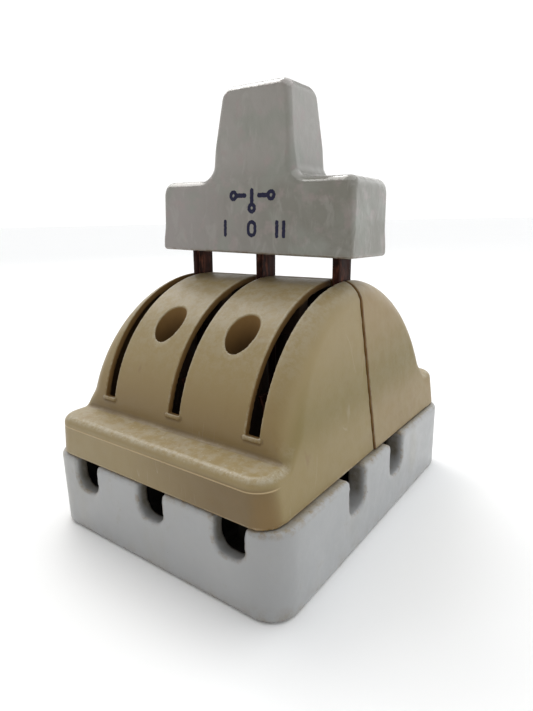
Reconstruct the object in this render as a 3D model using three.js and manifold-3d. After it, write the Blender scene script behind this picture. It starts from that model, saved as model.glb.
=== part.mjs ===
// Three-pole double-throw knife switch, 30 A size, standing in its centre (off) position.
// A porcelain base carries three poles in a row along X. Each pole has a hinge clip in the middle
// and a spring jaw at either end, and its blade swings about X. Two equal moulded half covers close
// the poles in, and a porcelain T handle, cemented on the blades, throws all three together.
// Millimetres, +Z up. The origin is the bottom centre of the base.

import * as THREE from 'three';
import { mergeVertices } from 'three/addons/utils/BufferGeometryUtils.js';
import Module from 'manifold-3d';

const wasm = await Module();
wasm.setup();

// ---------------------------------------------------------------- driving dimensions

const GAP = 0.3; // clearance between touching pieces
const CUT = 2; // how far a cutter runs past the face it opens

const POLE_PITCH = 30;
const POLES = [-1, 0, 1];
const POLE_NAMES = ['left', 'middle', 'right'];
const POLE_SHIFT = 0.8; // the poles stand a little to one side of the slots' centres
const SIDE_SHIFT = 1.2; // wire notches and screw wells are offset from the pole grid by this

const BASE = { halfX: 47.5, halfY: 59.5, height: 26.2, corner: 8.5, edge: 1.4 };
const CHAMBER = { halfX: 41, halfY: 55, floor: 12, corner: 2.5, partition: 5 };
const NOTCH = { width: 10.8, bottomRadius: 4.4, frontBottom: 15.2, sideBottom: 13 };
const NOTCH_ARC = { curveSegments: 3 };
const SIDE_NOTCH_Y = [-17.3, 12.7]; // on the +X wall; the -X wall has them turned half round
const PASSAGE = { width: 10, bottom: 17 };

const PIVOT_Z = 33.8;
const DOME = { radius: 47.8, edge: 6.5 };
const COVER = { halfX: 44.6, halfY: 59.2, corner: 7, bottom: 26.4, wall: 2.2, draft: 0.13, split: 0.15 };
const REAR_OFFSET = 0.9; // the rear moulding's shell stands this much further towards +X
const FLANGE = { top: 39.5, edge: 2.4 };
const SLOT = { width: 4.8, endAngle: 12.9, innerRadius: 20 };
const WELL = { bore: 5.3, tube: 7.3, y: -32, floorTop: 29.4, hole: 2.3 };
const RIB = { y: -16.2, thickness: 4.4, bottom: 66 };

const PLATE = { bottom: 21.2, thickness: 1.5, halfWidth: 4.5 }; // clip base plates and terminals
const PEDESTAL = { top: 21, halfWidth: 6.2 };
const JAW = { y: -35.5, halfDepth: 4, leaf: 1.2, gap: 3, straightTop: 50.5, flareTop: 53.5, flare: 1.3 };
const JAW_PLATE = { outer: -48, inner: -31, terminal: -44.4 };
const HINGE = { halfDepth: 5, ear: 1.5, gap: 3, plateShort: 7, plateLong: 21, terminal: 16 };

const BLADE = { thickness: 2.4, halfWidth: 4.3, eye: 5.6, top: 101, hole: 2.3 };
const POCKET = { halfX: 3.5, halfY: 5.6, depth: 14, cementWall: 0.9 };
const BAR = { halfX: 38.8, halfY: 11.9, bottom: 89.7, top: 113.4, edge: 3.2, bevel: 2.4 };
const STEM = { shift: 0.3, footX: 17, topX: 13, top: 142.6, topRadius: 4, footRadius: 4.5, topY: 8.5 };
const HANDLE_ROLL = THREE.MathUtils.degToRad(1.36); // the handle is set slightly crooked
const HANDLE_SHIFT = 0.6; // and a little to one side of the blades
const RESTING_LEAN = THREE.MathUtils.degToRad(-1.3); // how far from upright the blades stand at rest

const SCREW_SIDES = 8;
const HOLE_SIDES = 12;
const WELL_SIDES = 24;
const COVER_SCREW = { head: 4, headHeight: 2.6, shank: 2, length: 25, slot: 1.2 };
const COVER_NUT = { acrossFlats: 7, height: 3.2, bottom: 5, pocket: 7.8, pocketDepth: 9 };
const CLIP_SCREW = { head: 3.6, headHeight: 2.4, shank: 1.8, length: 16, slot: 1.1 };
const CLIP_BORE = { radius: 4.3, depth: 8 };
const TERMINAL_SCREW = { head: 4.1, headHeight: 2.8, shank: 1.9, length: 9.5, slot: 1.2, lift: 0.9 };
const PIVOT_BOLT = { head: 3.4, headHeight: 2.4, shank: 1.95, length: 10.4, slot: 1 };
const PIVOT_NUT = { acrossFlats: 7, height: 2.8 };
const MOUNTING_HOLE = { x: 15, y: 46, radius: 2.75, boss: 6.2, headRadius: 5, headFloor: 15.5 };

// ---------------------------------------------------------------- materials

function material(color, roughness, metalness) {
  return new THREE.MeshStandardMaterial({ color, roughness, metalness });
}

const MATERIAL = {
  porcelain: material(0xc9cdd2, 0.45, 0),
  glazed: material(0xb3aea6, 0.2, 0),
  cover: material(0xae9a72, 0.5, 0),
  copper: material(0x6b4030, 0.45, 1),
  brass: material(0xa98549, 0.35, 1),
  steel: material(0x8f9092, 0.35, 1),
  cement: material(0x8f8a80, 0.9, 0),
};

// ---------------------------------------------------------------- solids

function toSolid(geometry) {
  const bare = geometry.clone();
  bare.deleteAttribute('normal');
  bare.deleteAttribute('uv');
  const merged = mergeVertices(bare, 1e-5);
  return new wasm.Manifold(new wasm.Mesh({
    numProp: 3,
    vertProperties: new Float32Array(merged.attributes.position.array),
    triVerts: new Uint32Array(merged.index.array),
  }));
}

function toGeometry(solid) {
  const mesh = solid.getMesh();
  const geometry = new THREE.BufferGeometry();
  geometry.setAttribute('position', new THREE.BufferAttribute(mesh.vertProperties, 3));
  geometry.setIndex(new THREE.BufferAttribute(mesh.triVerts, 1));
  geometry.computeVertexNormals();
  return geometry;
}

function box(low, high) {
  const size = high.map((value, axis) => value - low[axis]);
  const geometry = new THREE.BoxGeometry(...size);
  geometry.translate(...high.map((value, axis) => (value + low[axis]) / 2));
  return toSolid(geometry);
}

function rodZ(radius, x, y, low, high, sides = HOLE_SIDES) {
  const geometry = new THREE.CylinderGeometry(radius, radius, high - low, sides);
  geometry.rotateX(Math.PI / 2);
  geometry.translate(x, y, (low + high) / 2);
  return toSolid(geometry);
}

function rodX(radius, y, z, low, high, sides = HOLE_SIDES) {
  const geometry = new THREE.CylinderGeometry(radius, radius, high - low, sides);
  geometry.rotateZ(Math.PI / 2);
  geometry.translate((low + high) / 2, y, z);
  return toSolid(geometry);
}

function hexPrism(acrossFlats, x, y, low, high) {
  return rodZ(acrossFlats / Math.sqrt(3), x, y, low, high, 6);
}

// Extrudes an outline drawn in (Y, Z) along X, centred on x.
function extrudeAlongX(shape, x, width, options = {}) {
  const bevel = options.bevelSize ?? 0;
  const geometry = new THREE.ExtrudeGeometry(shape, {
    depth: width - 2 * bevel,
    bevelEnabled: bevel > 0,
    bevelThickness: bevel,
    bevelOffset: -bevel,
    ...options,
  });
  geometry.applyMatrix4(new THREE.Matrix4().makeBasis(
    new THREE.Vector3(0, 1, 0),
    new THREE.Vector3(0, 0, 1),
    new THREE.Vector3(1, 0, 0),
  ));
  geometry.translate(x - width / 2 + bevel, 0, 0);
  return geometry;
}

// Extrudes an outline drawn in (X, Z) along Y, centred on y.
function extrudeAlongY(shape, y, width, options = {}) {
  const bevel = options.bevelSize ?? 0;
  const geometry = new THREE.ExtrudeGeometry(shape, {
    depth: width - 2 * bevel,
    bevelEnabled: bevel > 0,
    bevelThickness: bevel,
    bevelOffset: -bevel,
    ...options,
  });
  geometry.rotateX(Math.PI / 2);
  geometry.translate(0, y + width / 2 - bevel, 0);
  return geometry;
}

// Extrudes an outline drawn in (X, Y) from low to high, both ends rounded by bevelSize.
function extrudeAlongZ(shape, low, high, options = {}) {
  const bevel = options.bevelSize ?? 0;
  const geometry = new THREE.ExtrudeGeometry(shape, {
    depth: high - low - 2 * bevel,
    bevelEnabled: bevel > 0,
    bevelThickness: bevel,
    bevelOffset: -bevel,
    ...options,
  });
  geometry.translate(0, 0, low + bevel);
  return geometry;
}

function roundedRectangle(halfX, halfY, radius) {
  const shape = new THREE.Shape();
  shape.moveTo(halfX, -halfY + radius);
  shape.absarc(halfX - radius, halfY - radius, radius, 0, Math.PI / 2);
  shape.absarc(-halfX + radius, halfY - radius, radius, Math.PI / 2, Math.PI);
  shape.absarc(-halfX + radius, -halfY + radius, radius, Math.PI, 1.5 * Math.PI);
  shape.absarc(halfX - radius, -halfY + radius, radius, 1.5 * Math.PI, 2 * Math.PI);
  return shape;
}

// Outline of a wire notch, open at the top: straight sides and a round bottom.
function notchOutline(centre, bottom, width = NOTCH.width) {
  const radius = NOTCH.bottomRadius;
  const side = width / 2;
  const top = BASE.height + CUT;
  const shape = new THREE.Shape();
  shape.moveTo(centre + side, top);
  shape.lineTo(centre - side, top);
  shape.absarc(centre - side + radius, bottom + radius, radius, Math.PI, 1.5 * Math.PI);
  shape.absarc(centre + side - radius, bottom + radius, radius, 1.5 * Math.PI, 2 * Math.PI);
  shape.closePath();
  return shape;
}

function halfTurn(solid) {
  return solid.rotate([0, 0, 180]);
}

// The base and the cover set look the same after half a turn about Z.
function bothEnds(solid) {
  return solid.add(halfTurn(solid));
}

function poleX(pole) {
  return pole * POLE_PITCH + POLE_SHIFT;
}

const WELL_X = [-POLE_PITCH / 2 + SIDE_SHIFT, POLE_PITCH / 2 + SIDE_SHIFT];

// ---------------------------------------------------------------- screws and nuts

// A slotted screw along Z: underside of the head at z = 0, shank below.
function screwSolid({ head, headHeight, shank, length, slot }) {
  const profile = [
    [0, -length],
    [shank, -length],
    [shank, 0],
    [head, 0],
    [head, headHeight * 0.55],
    [head * 0.7, headHeight],
    [0, headHeight],
  ];
  const lathe = new THREE.LatheGeometry(profile.map(([r, z]) => new THREE.Vector2(r, z)), SCREW_SIDES);
  lathe.rotateX(Math.PI / 2);
  const groove = box([-head - 1, -slot / 2, headHeight * 0.5], [head + 1, slot / 2, headHeight + 1]);
  return toSolid(lathe).subtract(groove);
}

// ---------------------------------------------------------------- porcelain base

function chamberSolid() {
  const wide = CHAMBER.halfX - (POLE_PITCH + CHAMBER.partition) / 2;
  const middle = (POLE_PITCH - CHAMBER.partition) / 2;
  const cells = [
    { x: 0, half: middle },
    { x: CHAMBER.halfX - wide / 2, half: wide / 2 },
    { x: -CHAMBER.halfX + wide / 2, half: wide / 2 },
  ];
  const solids = cells.map(({ x, half }) => {
    const outline = roundedRectangle(half, CHAMBER.halfY, CHAMBER.corner);
    const geometry = extrudeAlongZ(outline, CHAMBER.floor, BASE.height + CUT, { curveSegments: 2 });
    geometry.translate(x, 0, 0);
    return toSolid(geometry);
  });
  return solids.reduce((all, solid) => all.add(solid));
}

// Which way a pole's common terminal points, so that its wire reaches a side notch.
function hingeSide(pole) {
  return pole > 0 ? -1 : 1;
}

// Lowest and highest Y of a hinge clip's plate, widened by a margin.
function hingeReach(side, margin) {
  const short = HINGE.plateShort + margin;
  const long = HINGE.plateLong + margin;
  return side > 0 ? [-short, long] : [-long, short];
}

function pedestalSolid(pole) {
  const x = poleX(pole);
  const low = CHAMBER.floor - 1;
  const half = PEDESTAL.halfWidth;
  const jawPad = box([x - half, JAW_PLATE.outer - 0.4, low], [x + half, JAW_PLATE.inner + 1, PEDESTAL.top]);
  const rearPad = jawPad.mirror([0, 1, 0]);
  const reach = hingeReach(hingeSide(pole), 1);
  const hingePad = box([x - half, reach[0], low], [x + half, reach[1], PEDESTAL.top]);
  return jawPad.add(rearPad).add(hingePad);
}

function bossSolid() {
  let solid = null;
  for (const x of WELL_X) {
    const boss = rodZ(WELL.tube, x, WELL.y, CHAMBER.floor - 1, BASE.height, WELL_SIDES);
    solid = solid ? solid.add(boss) : boss;
  }
  for (const side of [-1, 1]) {
    const x = side * MOUNTING_HOLE.x;
    solid = solid.add(rodZ(MOUNTING_HOLE.boss, x, -MOUNTING_HOLE.y, CHAMBER.floor - 1, BASE.height));
  }
  return bothEnds(solid);
}

function notchSolids() {
  const reach = BASE.halfY - CHAMBER.halfY + 2 * CUT;
  let solid = null;
  for (const pole of POLES) {
    const outline = notchOutline(pole * POLE_PITCH + SIDE_SHIFT, NOTCH.frontBottom);
    const cutter = toSolid(extrudeAlongY(outline, -(BASE.halfY + CHAMBER.halfY) / 2, reach, NOTCH_ARC));
    solid = solid ? solid.add(cutter) : cutter;
  }
  for (const y of SIDE_NOTCH_Y) {
    const outline = notchOutline(y, NOTCH.sideBottom);
    const cutter = extrudeAlongX(outline, (BASE.halfX + CHAMBER.halfX) / 2, reach, NOTCH_ARC);
    solid = solid.add(toSolid(cutter));
  }
  const passage = notchOutline(SIDE_NOTCH_Y[1], PASSAGE.bottom, PASSAGE.width);
  const through = extrudeAlongX(passage, POLE_PITCH / 2, CHAMBER.partition + CUT, NOTCH_ARC);
  return bothEnds(solid.add(toSolid(through)));
}

function clipHoleSolid(x, y) {
  const hole = CLIP_SCREW.shank + GAP;
  return rodZ(CLIP_BORE.radius, x, y, -CUT, CLIP_BORE.depth)
    .add(rodZ(hole, x, y, 0, BASE.height, SCREW_SIDES));
}

function terminalHoleSolid(x, y) {
  const depth = PLATE.bottom + PLATE.thickness + TERMINAL_SCREW.lift - TERMINAL_SCREW.length - 1;
  return rodZ(TERMINAL_SCREW.shank + GAP, x, y, depth, BASE.height, SCREW_SIDES);
}

function baseHoles() {
  const solids = [];
  for (const pole of POLES) {
    const x = poleX(pole);
    solids.push(clipHoleSolid(x, JAW.y), clipHoleSolid(x, -JAW.y), clipHoleSolid(x, 0));
    solids.push(terminalHoleSolid(x, JAW_PLATE.terminal), terminalHoleSolid(x, -JAW_PLATE.terminal));
    solids.push(terminalHoleSolid(x, HINGE.terminal * hingeSide(pole)));
  }
  for (const x of WELL_X) {
    const screwHole = rodZ(WELL.hole, x, WELL.y, 0, BASE.height + CUT, SCREW_SIDES);
    const nutPocket = hexPrism(COVER_NUT.pocket, x, WELL.y, -CUT, COVER_NUT.pocketDepth);
    solids.push(bothEnds(screwHole.add(nutPocket)));
  }
  for (const side of [-1, 1]) {
    const x = side * MOUNTING_HOLE.x;
    const y = -MOUNTING_HOLE.y;
    const shank = rodZ(MOUNTING_HOLE.radius, x, y, -CUT, BASE.height);
    const head = rodZ(MOUNTING_HOLE.headRadius, x, y, MOUNTING_HOLE.headFloor, BASE.height + CUT);
    solids.push(bothEnds(shank.add(head)));
  }
  return solids.reduce((all, solid) => all.add(solid));
}

function baseSolid() {
  const outline = roundedRectangle(BASE.halfX, BASE.halfY, BASE.corner);
  const slab = extrudeAlongZ(outline, 0, BASE.height, {
    curveSegments: 5,
    bevelSize: BASE.edge,
    bevelSegments: 1,
  });
  let solid = toSolid(slab).subtract(chamberSolid());
  for (const pole of POLES) {
    solid = solid.add(pedestalSolid(pole));
  }
  return solid.add(bossSolid()).subtract(notchSolids()).subtract(baseHoles());
}

// ---------------------------------------------------------------- moulded half covers

// Narrows a solid towards the top: the sides of the mould have draft.
function applyDraft(geometry, halfX) {
  const position = geometry.attributes.position;
  for (let i = 0; i < position.count; i += 1) {
    const lean = COVER.draft * (position.getZ(i) - BASE.height);
    position.setX(i, position.getX(i) * (1 - lean / halfX));
  }
  return geometry;
}

function domeSolid(inset) {
  const radius = DOME.radius - inset;
  const halfX = COVER.halfX - inset;
  const below = COVER.bottom - 2 * DOME.edge;
  const outline = new THREE.Shape();
  outline.moveTo(-radius, below);
  outline.lineTo(radius, below);
  outline.absarc(0, PIVOT_Z, radius, 0, Math.PI);
  outline.closePath();
  const edge = DOME.edge - inset * 0.6;
  const body = extrudeAlongX(outline, 0, 2 * halfX, {
    curveSegments: 22,
    bevelSize: edge,
    bevelSegments: 2,
  });
  return toSolid(applyDraft(body, halfX));
}

function flangeSolid(inset) {
  const halfX = COVER.halfX - inset;
  const outline = roundedRectangle(halfX, COVER.halfY - inset, COVER.corner - inset);
  const low = COVER.bottom - 2 * FLANGE.edge;
  const body = extrudeAlongZ(outline, low, FLANGE.top - inset, {
    curveSegments: 4,
    bevelSize: FLANGE.edge - inset * 0.4,
    bevelSegments: 2,
  });
  return toSolid(applyDraft(body, halfX));
}

function coverSlot(x) {
  const outer = DOME.radius + CUT;
  const start = Math.PI - THREE.MathUtils.degToRad(SLOT.endAngle);
  const outline = new THREE.Shape();
  outline.absarc(0, PIVOT_Z, outer, Math.PI / 2, start);
  outline.absarc(0, PIVOT_Z, SLOT.innerRadius, start, Math.PI / 2, true);
  outline.closePath();
  return toSolid(extrudeAlongX(outline, x, SLOT.width, { curveSegments: 12 }));
}

// One half cover, its shell set along X by an offset from the wells and slots.
function coverSolid(offset) {
  const outer = domeSolid(0).add(flangeSolid(0)).translate([offset, 0, 0]);
  const inner = domeSolid(COVER.wall).add(flangeSolid(COVER.wall)).translate([offset, 0, 0]);
  const high = PIVOT_Z + DOME.radius;
  const halfRib = RIB.thickness / 2;
  let inside = box([-COVER.halfX, RIB.y - halfRib, RIB.bottom], [COVER.halfX, RIB.y + halfRib, high]);
  for (const x of WELL_X) {
    inside = inside.add(rodZ(WELL.tube, x, WELL.y, COVER.bottom, high, WELL_SIDES));
  }
  let solid = outer.subtract(inner).add(inside.intersect(outer));
  for (const x of WELL_X) {
    solid = solid.subtract(rodZ(WELL.bore, x, WELL.y, WELL.floorTop, high, WELL_SIDES));
    solid = solid.subtract(rodZ(WELL.hole, x, WELL.y, 0, high, SCREW_SIDES));
  }
  for (const pole of POLES) {
    solid = solid.subtract(coverSlot(pole * POLE_PITCH));
  }
  const frontHalf = box(
    [-COVER.halfX - CUT, -COVER.halfY - CUT, COVER.bottom],
    [COVER.halfX + CUT, -COVER.split, high + CUT],
  );
  return solid.intersect(frontHalf);
}

// ---------------------------------------------------------------- contacts

// A spring jaw: two leaves that flare at the mouth, on a base plate with the wire terminal.
function jawSolid() {
  const inner = JAW.gap / 2;
  const outer = inner + JAW.leaf;
  const bottom = PLATE.bottom;
  const floor = bottom + PLATE.thickness;
  const outline = new THREE.Shape();
  outline.moveTo(-outer, bottom);
  outline.lineTo(outer, bottom);
  outline.lineTo(outer, JAW.straightTop);
  outline.lineTo(outer + JAW.flare, JAW.flareTop);
  outline.lineTo(inner + JAW.flare, JAW.flareTop);
  outline.lineTo(inner, JAW.straightTop);
  outline.lineTo(inner, floor);
  outline.lineTo(-inner, floor);
  outline.lineTo(-inner, JAW.straightTop);
  outline.lineTo(-inner - JAW.flare, JAW.flareTop);
  outline.lineTo(-outer - JAW.flare, JAW.flareTop);
  outline.lineTo(-outer, JAW.straightTop);
  outline.closePath();
  const clip = toSolid(extrudeAlongY(outline, JAW.y, 2 * JAW.halfDepth));
  const plate = box([-PLATE.halfWidth, JAW_PLATE.outer, bottom], [PLATE.halfWidth, JAW_PLATE.inner, floor]);
  return clip.add(plate)
    .subtract(rodZ(CLIP_SCREW.shank + GAP, 0, JAW.y, 0, floor + CUT, SCREW_SIDES))
    .subtract(rodZ(TERMINAL_SCREW.shank + GAP, 0, JAW_PLATE.terminal, 0, floor + CUT, SCREW_SIDES));
}

// A hinge clip: two round-topped ears for the pivot bolt, on a plate with the common terminal.
function hingeClipSolid(side) {
  const inner = HINGE.gap / 2;
  const floor = PLATE.bottom + PLATE.thickness;
  const outline = new THREE.Shape();
  outline.moveTo(-HINGE.halfDepth, PLATE.bottom);
  outline.lineTo(HINGE.halfDepth, PLATE.bottom);
  outline.absarc(0, PIVOT_Z, HINGE.halfDepth, 0, Math.PI);
  outline.closePath();
  const ears = toSolid(extrudeAlongX(outline, 0, 2 * (inner + HINGE.ear), { curveSegments: 8 }))
    .subtract(box([-inner, -HINGE.halfDepth - CUT, floor], [inner, HINGE.halfDepth + CUT, PIVOT_Z * 2]));
  const reach = hingeReach(side, 0);
  const plate = box([-PLATE.halfWidth, reach[0], PLATE.bottom], [PLATE.halfWidth, reach[1], floor]);
  return ears.add(plate)
    .subtract(rodX(PIVOT_BOLT.shank + GAP, 0, PIVOT_Z, -PLATE.halfWidth, PLATE.halfWidth, SCREW_SIDES))
    .subtract(rodZ(CLIP_SCREW.shank + GAP, 0, 0, 0, floor + CUT, SCREW_SIDES))
    .subtract(rodZ(TERMINAL_SCREW.shank + GAP, 0, HINGE.terminal * side, 0, floor + CUT, SCREW_SIDES));
}

function bladeSolid() {
  const { halfWidth, eye, top, thickness } = BLADE;
  const shoulder = Math.asin(halfWidth / eye);
  const outline = new THREE.Shape();
  outline.moveTo(halfWidth, top);
  outline.lineTo(-halfWidth, top);
  outline.absarc(0, PIVOT_Z, eye, Math.PI / 2 + shoulder, 2.5 * Math.PI - shoulder);
  outline.closePath();
  return toSolid(extrudeAlongX(outline, 0, thickness, { curveSegments: 12 }))
    .subtract(rodX(BLADE.hole, 0, PIVOT_Z, -thickness, thickness, SCREW_SIDES));
}

// ---------------------------------------------------------------- porcelain handle

// Outline of the T in (X, Z): the crossbar with its square foot below, the tapered stem above.
function handleOutline() {
  const { halfX, bottom, top, edge } = BAR;
  const { shift, footX, topX, footRadius, topRadius } = STEM;
  const shape = new THREE.Shape();
  shape.moveTo(-halfX, bottom);
  shape.lineTo(halfX, bottom);
  shape.absarc(halfX - edge, top - edge, edge, 0, Math.PI / 2);
  shape.absarc(shift + footX + footRadius, top + footRadius, footRadius, -Math.PI / 2, -Math.PI, true);
  shape.absarc(shift + topX - topRadius, STEM.top - topRadius, topRadius, 0, Math.PI / 2);
  shape.absarc(shift - topX + topRadius, STEM.top - topRadius, topRadius, Math.PI / 2, Math.PI);
  shape.absarc(shift - footX - footRadius, top + footRadius, footRadius, 0, -Math.PI / 2, true);
  shape.absarc(-halfX + edge, top - edge, edge, Math.PI / 2, Math.PI);
  shape.closePath();
  return shape;
}

// Thins the stem from the crossbar's depth at its foot to the top's depth.
function thinStem(geometry) {
  const position = geometry.attributes.position;
  const slope = (1 - STEM.topY / BAR.halfY) / (STEM.top - BAR.top);
  for (let i = 0; i < position.count; i += 1) {
    const above = Math.max(0, position.getZ(i) - BAR.top);
    position.setY(i, position.getY(i) * (1 - slope * above));
  }
  return geometry;
}

function pocketSolid(x, clearance) {
  return box(
    [x - POCKET.halfX + clearance, -POCKET.halfY + clearance, BAR.bottom - CUT],
    [x + POCKET.halfX - clearance, POCKET.halfY - clearance, BAR.bottom + POCKET.depth - clearance],
  );
}

function handleSolid() {
  const body = extrudeAlongY(handleOutline(), 0, 2 * BAR.halfY, {
    curveSegments: 4,
    bevelSize: BAR.bevel,
    bevelSegments: 2,
  });
  let solid = toSolid(thinStem(body));
  for (const pole of POLES) {
    solid = solid.subtract(pocketSolid(pole * POLE_PITCH, 0));
  }
  return solid;
}

// Cement round the end of a blade, recessed a little into its pocket.
function cementSolid(pole) {
  const x = pole * POLE_PITCH;
  const wall = POCKET.cementWall;
  const plug = pocketSolid(x, GAP).intersect(box(
    [x - POCKET.halfX, -POCKET.halfY, BAR.bottom + 0.8],
    [x + POCKET.halfX, POCKET.halfY, BAR.bottom + POCKET.depth],
  ));
  const hole = box(
    [x - POCKET.halfX + wall + GAP, -BLADE.halfWidth - GAP, BAR.bottom - CUT],
    [x + BLADE.thickness / 2 + 2 * GAP, BLADE.halfWidth + GAP, BLADE.top + 4 * GAP],
  );
  return plug.subtract(hole);
}

// ---------------------------------------------------------------- assembly

const model = new THREE.Group();

function place(parent, name, solid, look, position = [0, 0, 0]) {
  const mesh = new THREE.Mesh(toGeometry(solid), MATERIAL[look].clone());
  mesh.name = name;
  mesh.position.set(...position);
  parent.add(mesh);
  return mesh;
}

place(model, 'porcelain_base', baseSolid(), 'porcelain');

const coverScrew = screwSolid(COVER_SCREW);
const coverNut = hexPrism(COVER_NUT.acrossFlats, 0, 0, 0, COVER_NUT.height)
  .subtract(rodZ(COVER_SCREW.shank + GAP, 0, 0, -CUT, COVER_NUT.height + CUT, SCREW_SIDES));
const jaw = jawSolid();
const blade = bladeSolid();
const clipScrew = screwSolid(CLIP_SCREW).rotate([180, 0, 0]);
const terminalScrew = screwSolid(TERMINAL_SCREW);
const pivotBolt = screwSolid(PIVOT_BOLT).rotate([0, -90, 0]);
const pivotNut = hexPrism(PIVOT_NUT.acrossFlats, 0, 0, 0, PIVOT_NUT.height)
  .subtract(rodZ(PIVOT_BOLT.shank + GAP, 0, 0, -CUT, PIVOT_NUT.height + CUT, SCREW_SIDES))
  .rotate([0, 90, 0]);

const screwSeat = PLATE.bottom + PLATE.thickness + TERMINAL_SCREW.lift;
const earFace = HINGE.gap / 2 + HINGE.ear + GAP;

// One end of the switch: half cover with its screws, and the three jaws. The rear end is the
// front end turned half round, with its jaws moved back onto the poles.
for (const end of ['front', 'rear']) {
  const side = end === 'front' ? 1 : -1;
  const group = new THREE.Group();
  group.rotation.z = side > 0 ? 0 : Math.PI;
  model.add(group);
  place(group, `cover_${end}`, coverSolid(side > 0 ? 0 : -REAR_OFFSET), 'cover');
  WELL_X.forEach((x, index) => {
    const number = index + 1;
    place(group, `cover_screw_${end}_${number}`, coverScrew, 'steel', [x, WELL.y, WELL.floorTop + GAP]);
    place(group, `cover_nut_${end}_${number}`, coverNut, 'steel', [x, WELL.y, COVER_NUT.bottom]);
  });
  for (const pole of POLES) {
    const name = `${end}_${POLE_NAMES[pole + 1]}`;
    const x = poleX(pole) * side;
    place(group, `jaw_${name}`, jaw, 'copper', [x, 0, 0]);
    place(group, `jaw_screw_${name}`, clipScrew, 'steel', [x, JAW.y, CLIP_BORE.depth - GAP]);
    place(group, `terminal_screw_${name}`, terminalScrew, 'brass', [x, JAW_PLATE.terminal, screwSeat]);
  }
}

// The centre of each pole: hinge clip, pivot bolt and nut, and the common terminal.
for (const pole of POLES) {
  const name = POLE_NAMES[pole + 1];
  const x = poleX(pole);
  const side = hingeSide(pole);
  place(model, `hinge_clip_${name}`, hingeClipSolid(side), 'copper', [x, 0, 0]);
  place(model, `hinge_screw_${name}`, clipScrew, 'steel', [x, 0, CLIP_BORE.depth - GAP]);
  place(model, `common_screw_${name}`, terminalScrew, 'brass', [x, HINGE.terminal * side, screwSeat]);
  place(model, `pivot_bolt_${name}`, pivotBolt, 'steel', [x - earFace, 0, PIVOT_Z]);
  place(model, `pivot_nut_${name}`, pivotNut, 'steel', [x + earFace, 0, PIVOT_Z]);
}

// The moving assembly: blades, and the handle cemented on them slightly crooked.
const swinging = new THREE.Group();
swinging.position.set(0, 0, PIVOT_Z);
swinging.rotation.x = RESTING_LEAN;
model.add(swinging);
for (const pole of POLES) {
  place(swinging, `blade_${POLE_NAMES[pole + 1]}`, blade, 'copper', [poleX(pole), 0, -PIVOT_Z]);
}
const crooked = new THREE.Group();
const pocketMiddle = BAR.bottom + POCKET.depth / 2;
crooked.position.set(POLE_SHIFT + HANDLE_SHIFT, 0, pocketMiddle - PIVOT_Z);
crooked.rotation.y = HANDLE_ROLL;
swinging.add(crooked);
place(crooked, 'handle', handleSolid(), 'glazed', [0, 0, -pocketMiddle]);
for (const pole of POLES) {
  const name = `blade_cement_${POLE_NAMES[pole + 1]}`;
  place(crooked, name, cementSolid(pole), 'cement', [0, 0, -pocketMiddle]);
}

export default model;
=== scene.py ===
"""Looks of a three-pole double-throw knife switch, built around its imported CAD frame.

Every visible piece is a signed distance field in millimetres, meshed by surface nets and moved
on to its exact surface, so that moulded and fired edges are round as on the real object.
"""

import math

import bpy
import numpy as np
from mathutils import Euler, Matrix, Vector


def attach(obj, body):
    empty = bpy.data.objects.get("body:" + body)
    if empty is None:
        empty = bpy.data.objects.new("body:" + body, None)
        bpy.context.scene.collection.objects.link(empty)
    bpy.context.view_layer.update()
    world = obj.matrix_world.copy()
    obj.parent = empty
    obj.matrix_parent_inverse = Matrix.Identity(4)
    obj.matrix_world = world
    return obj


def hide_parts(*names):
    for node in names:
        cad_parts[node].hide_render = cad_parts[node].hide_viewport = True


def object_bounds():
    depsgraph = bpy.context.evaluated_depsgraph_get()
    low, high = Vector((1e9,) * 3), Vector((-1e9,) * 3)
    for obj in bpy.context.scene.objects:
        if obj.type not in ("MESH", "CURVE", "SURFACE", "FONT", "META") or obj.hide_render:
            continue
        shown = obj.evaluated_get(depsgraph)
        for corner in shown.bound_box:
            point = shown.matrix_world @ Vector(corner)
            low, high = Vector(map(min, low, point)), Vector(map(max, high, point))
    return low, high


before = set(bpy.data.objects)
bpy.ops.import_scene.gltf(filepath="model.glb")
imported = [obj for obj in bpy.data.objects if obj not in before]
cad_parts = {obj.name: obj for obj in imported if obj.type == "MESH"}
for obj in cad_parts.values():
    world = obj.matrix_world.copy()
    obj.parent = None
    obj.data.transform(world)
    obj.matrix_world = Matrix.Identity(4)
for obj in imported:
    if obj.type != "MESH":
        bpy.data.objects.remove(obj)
cad_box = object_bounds()

MM = 0.001

# ---------- sizes, in millimetres

POLE_PITCH = 30.0
POLES = {"left": -1, "middle": 0, "right": 1}
POLE_SHIFT = 0.8
SIDE_SHIFT = 1.2
PIVOT_Z = 33.8

BASE = dict(half=(47.5, 59.5), height=26.2, corner=8.5, top_edge=1.7, foot_edge=1.2)
CHAMBER = dict(half=(41.0, 55.0), floor=12.0, partition=5.0, corner=2.0)
NOTCH = dict(half=5.4, bottom_radius=4.4, front_bottom=15.2, side_bottom=13.0, lip=0.6, reach=7.0)
SIDE_NOTCH_Y = (-17.3, 12.7)
PASSAGE = dict(half=5.0, bottom=17.0, corner=4.0)
PEDESTAL = dict(top=21.0, half=6.2)
MOUNT = dict(x=15.0, y=-46.0, boss=6.2, hole=2.75, head=5.0, seat=15.5)
NUT_POCKET = dict(across_flats=7.8, deep=9.0)
CONTACT_HOLE = dict(shank=2.1, head=4.3, deep=8.0)
TERMINAL_HOLE = dict(radius=2.2, bottom=12.5)

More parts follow.
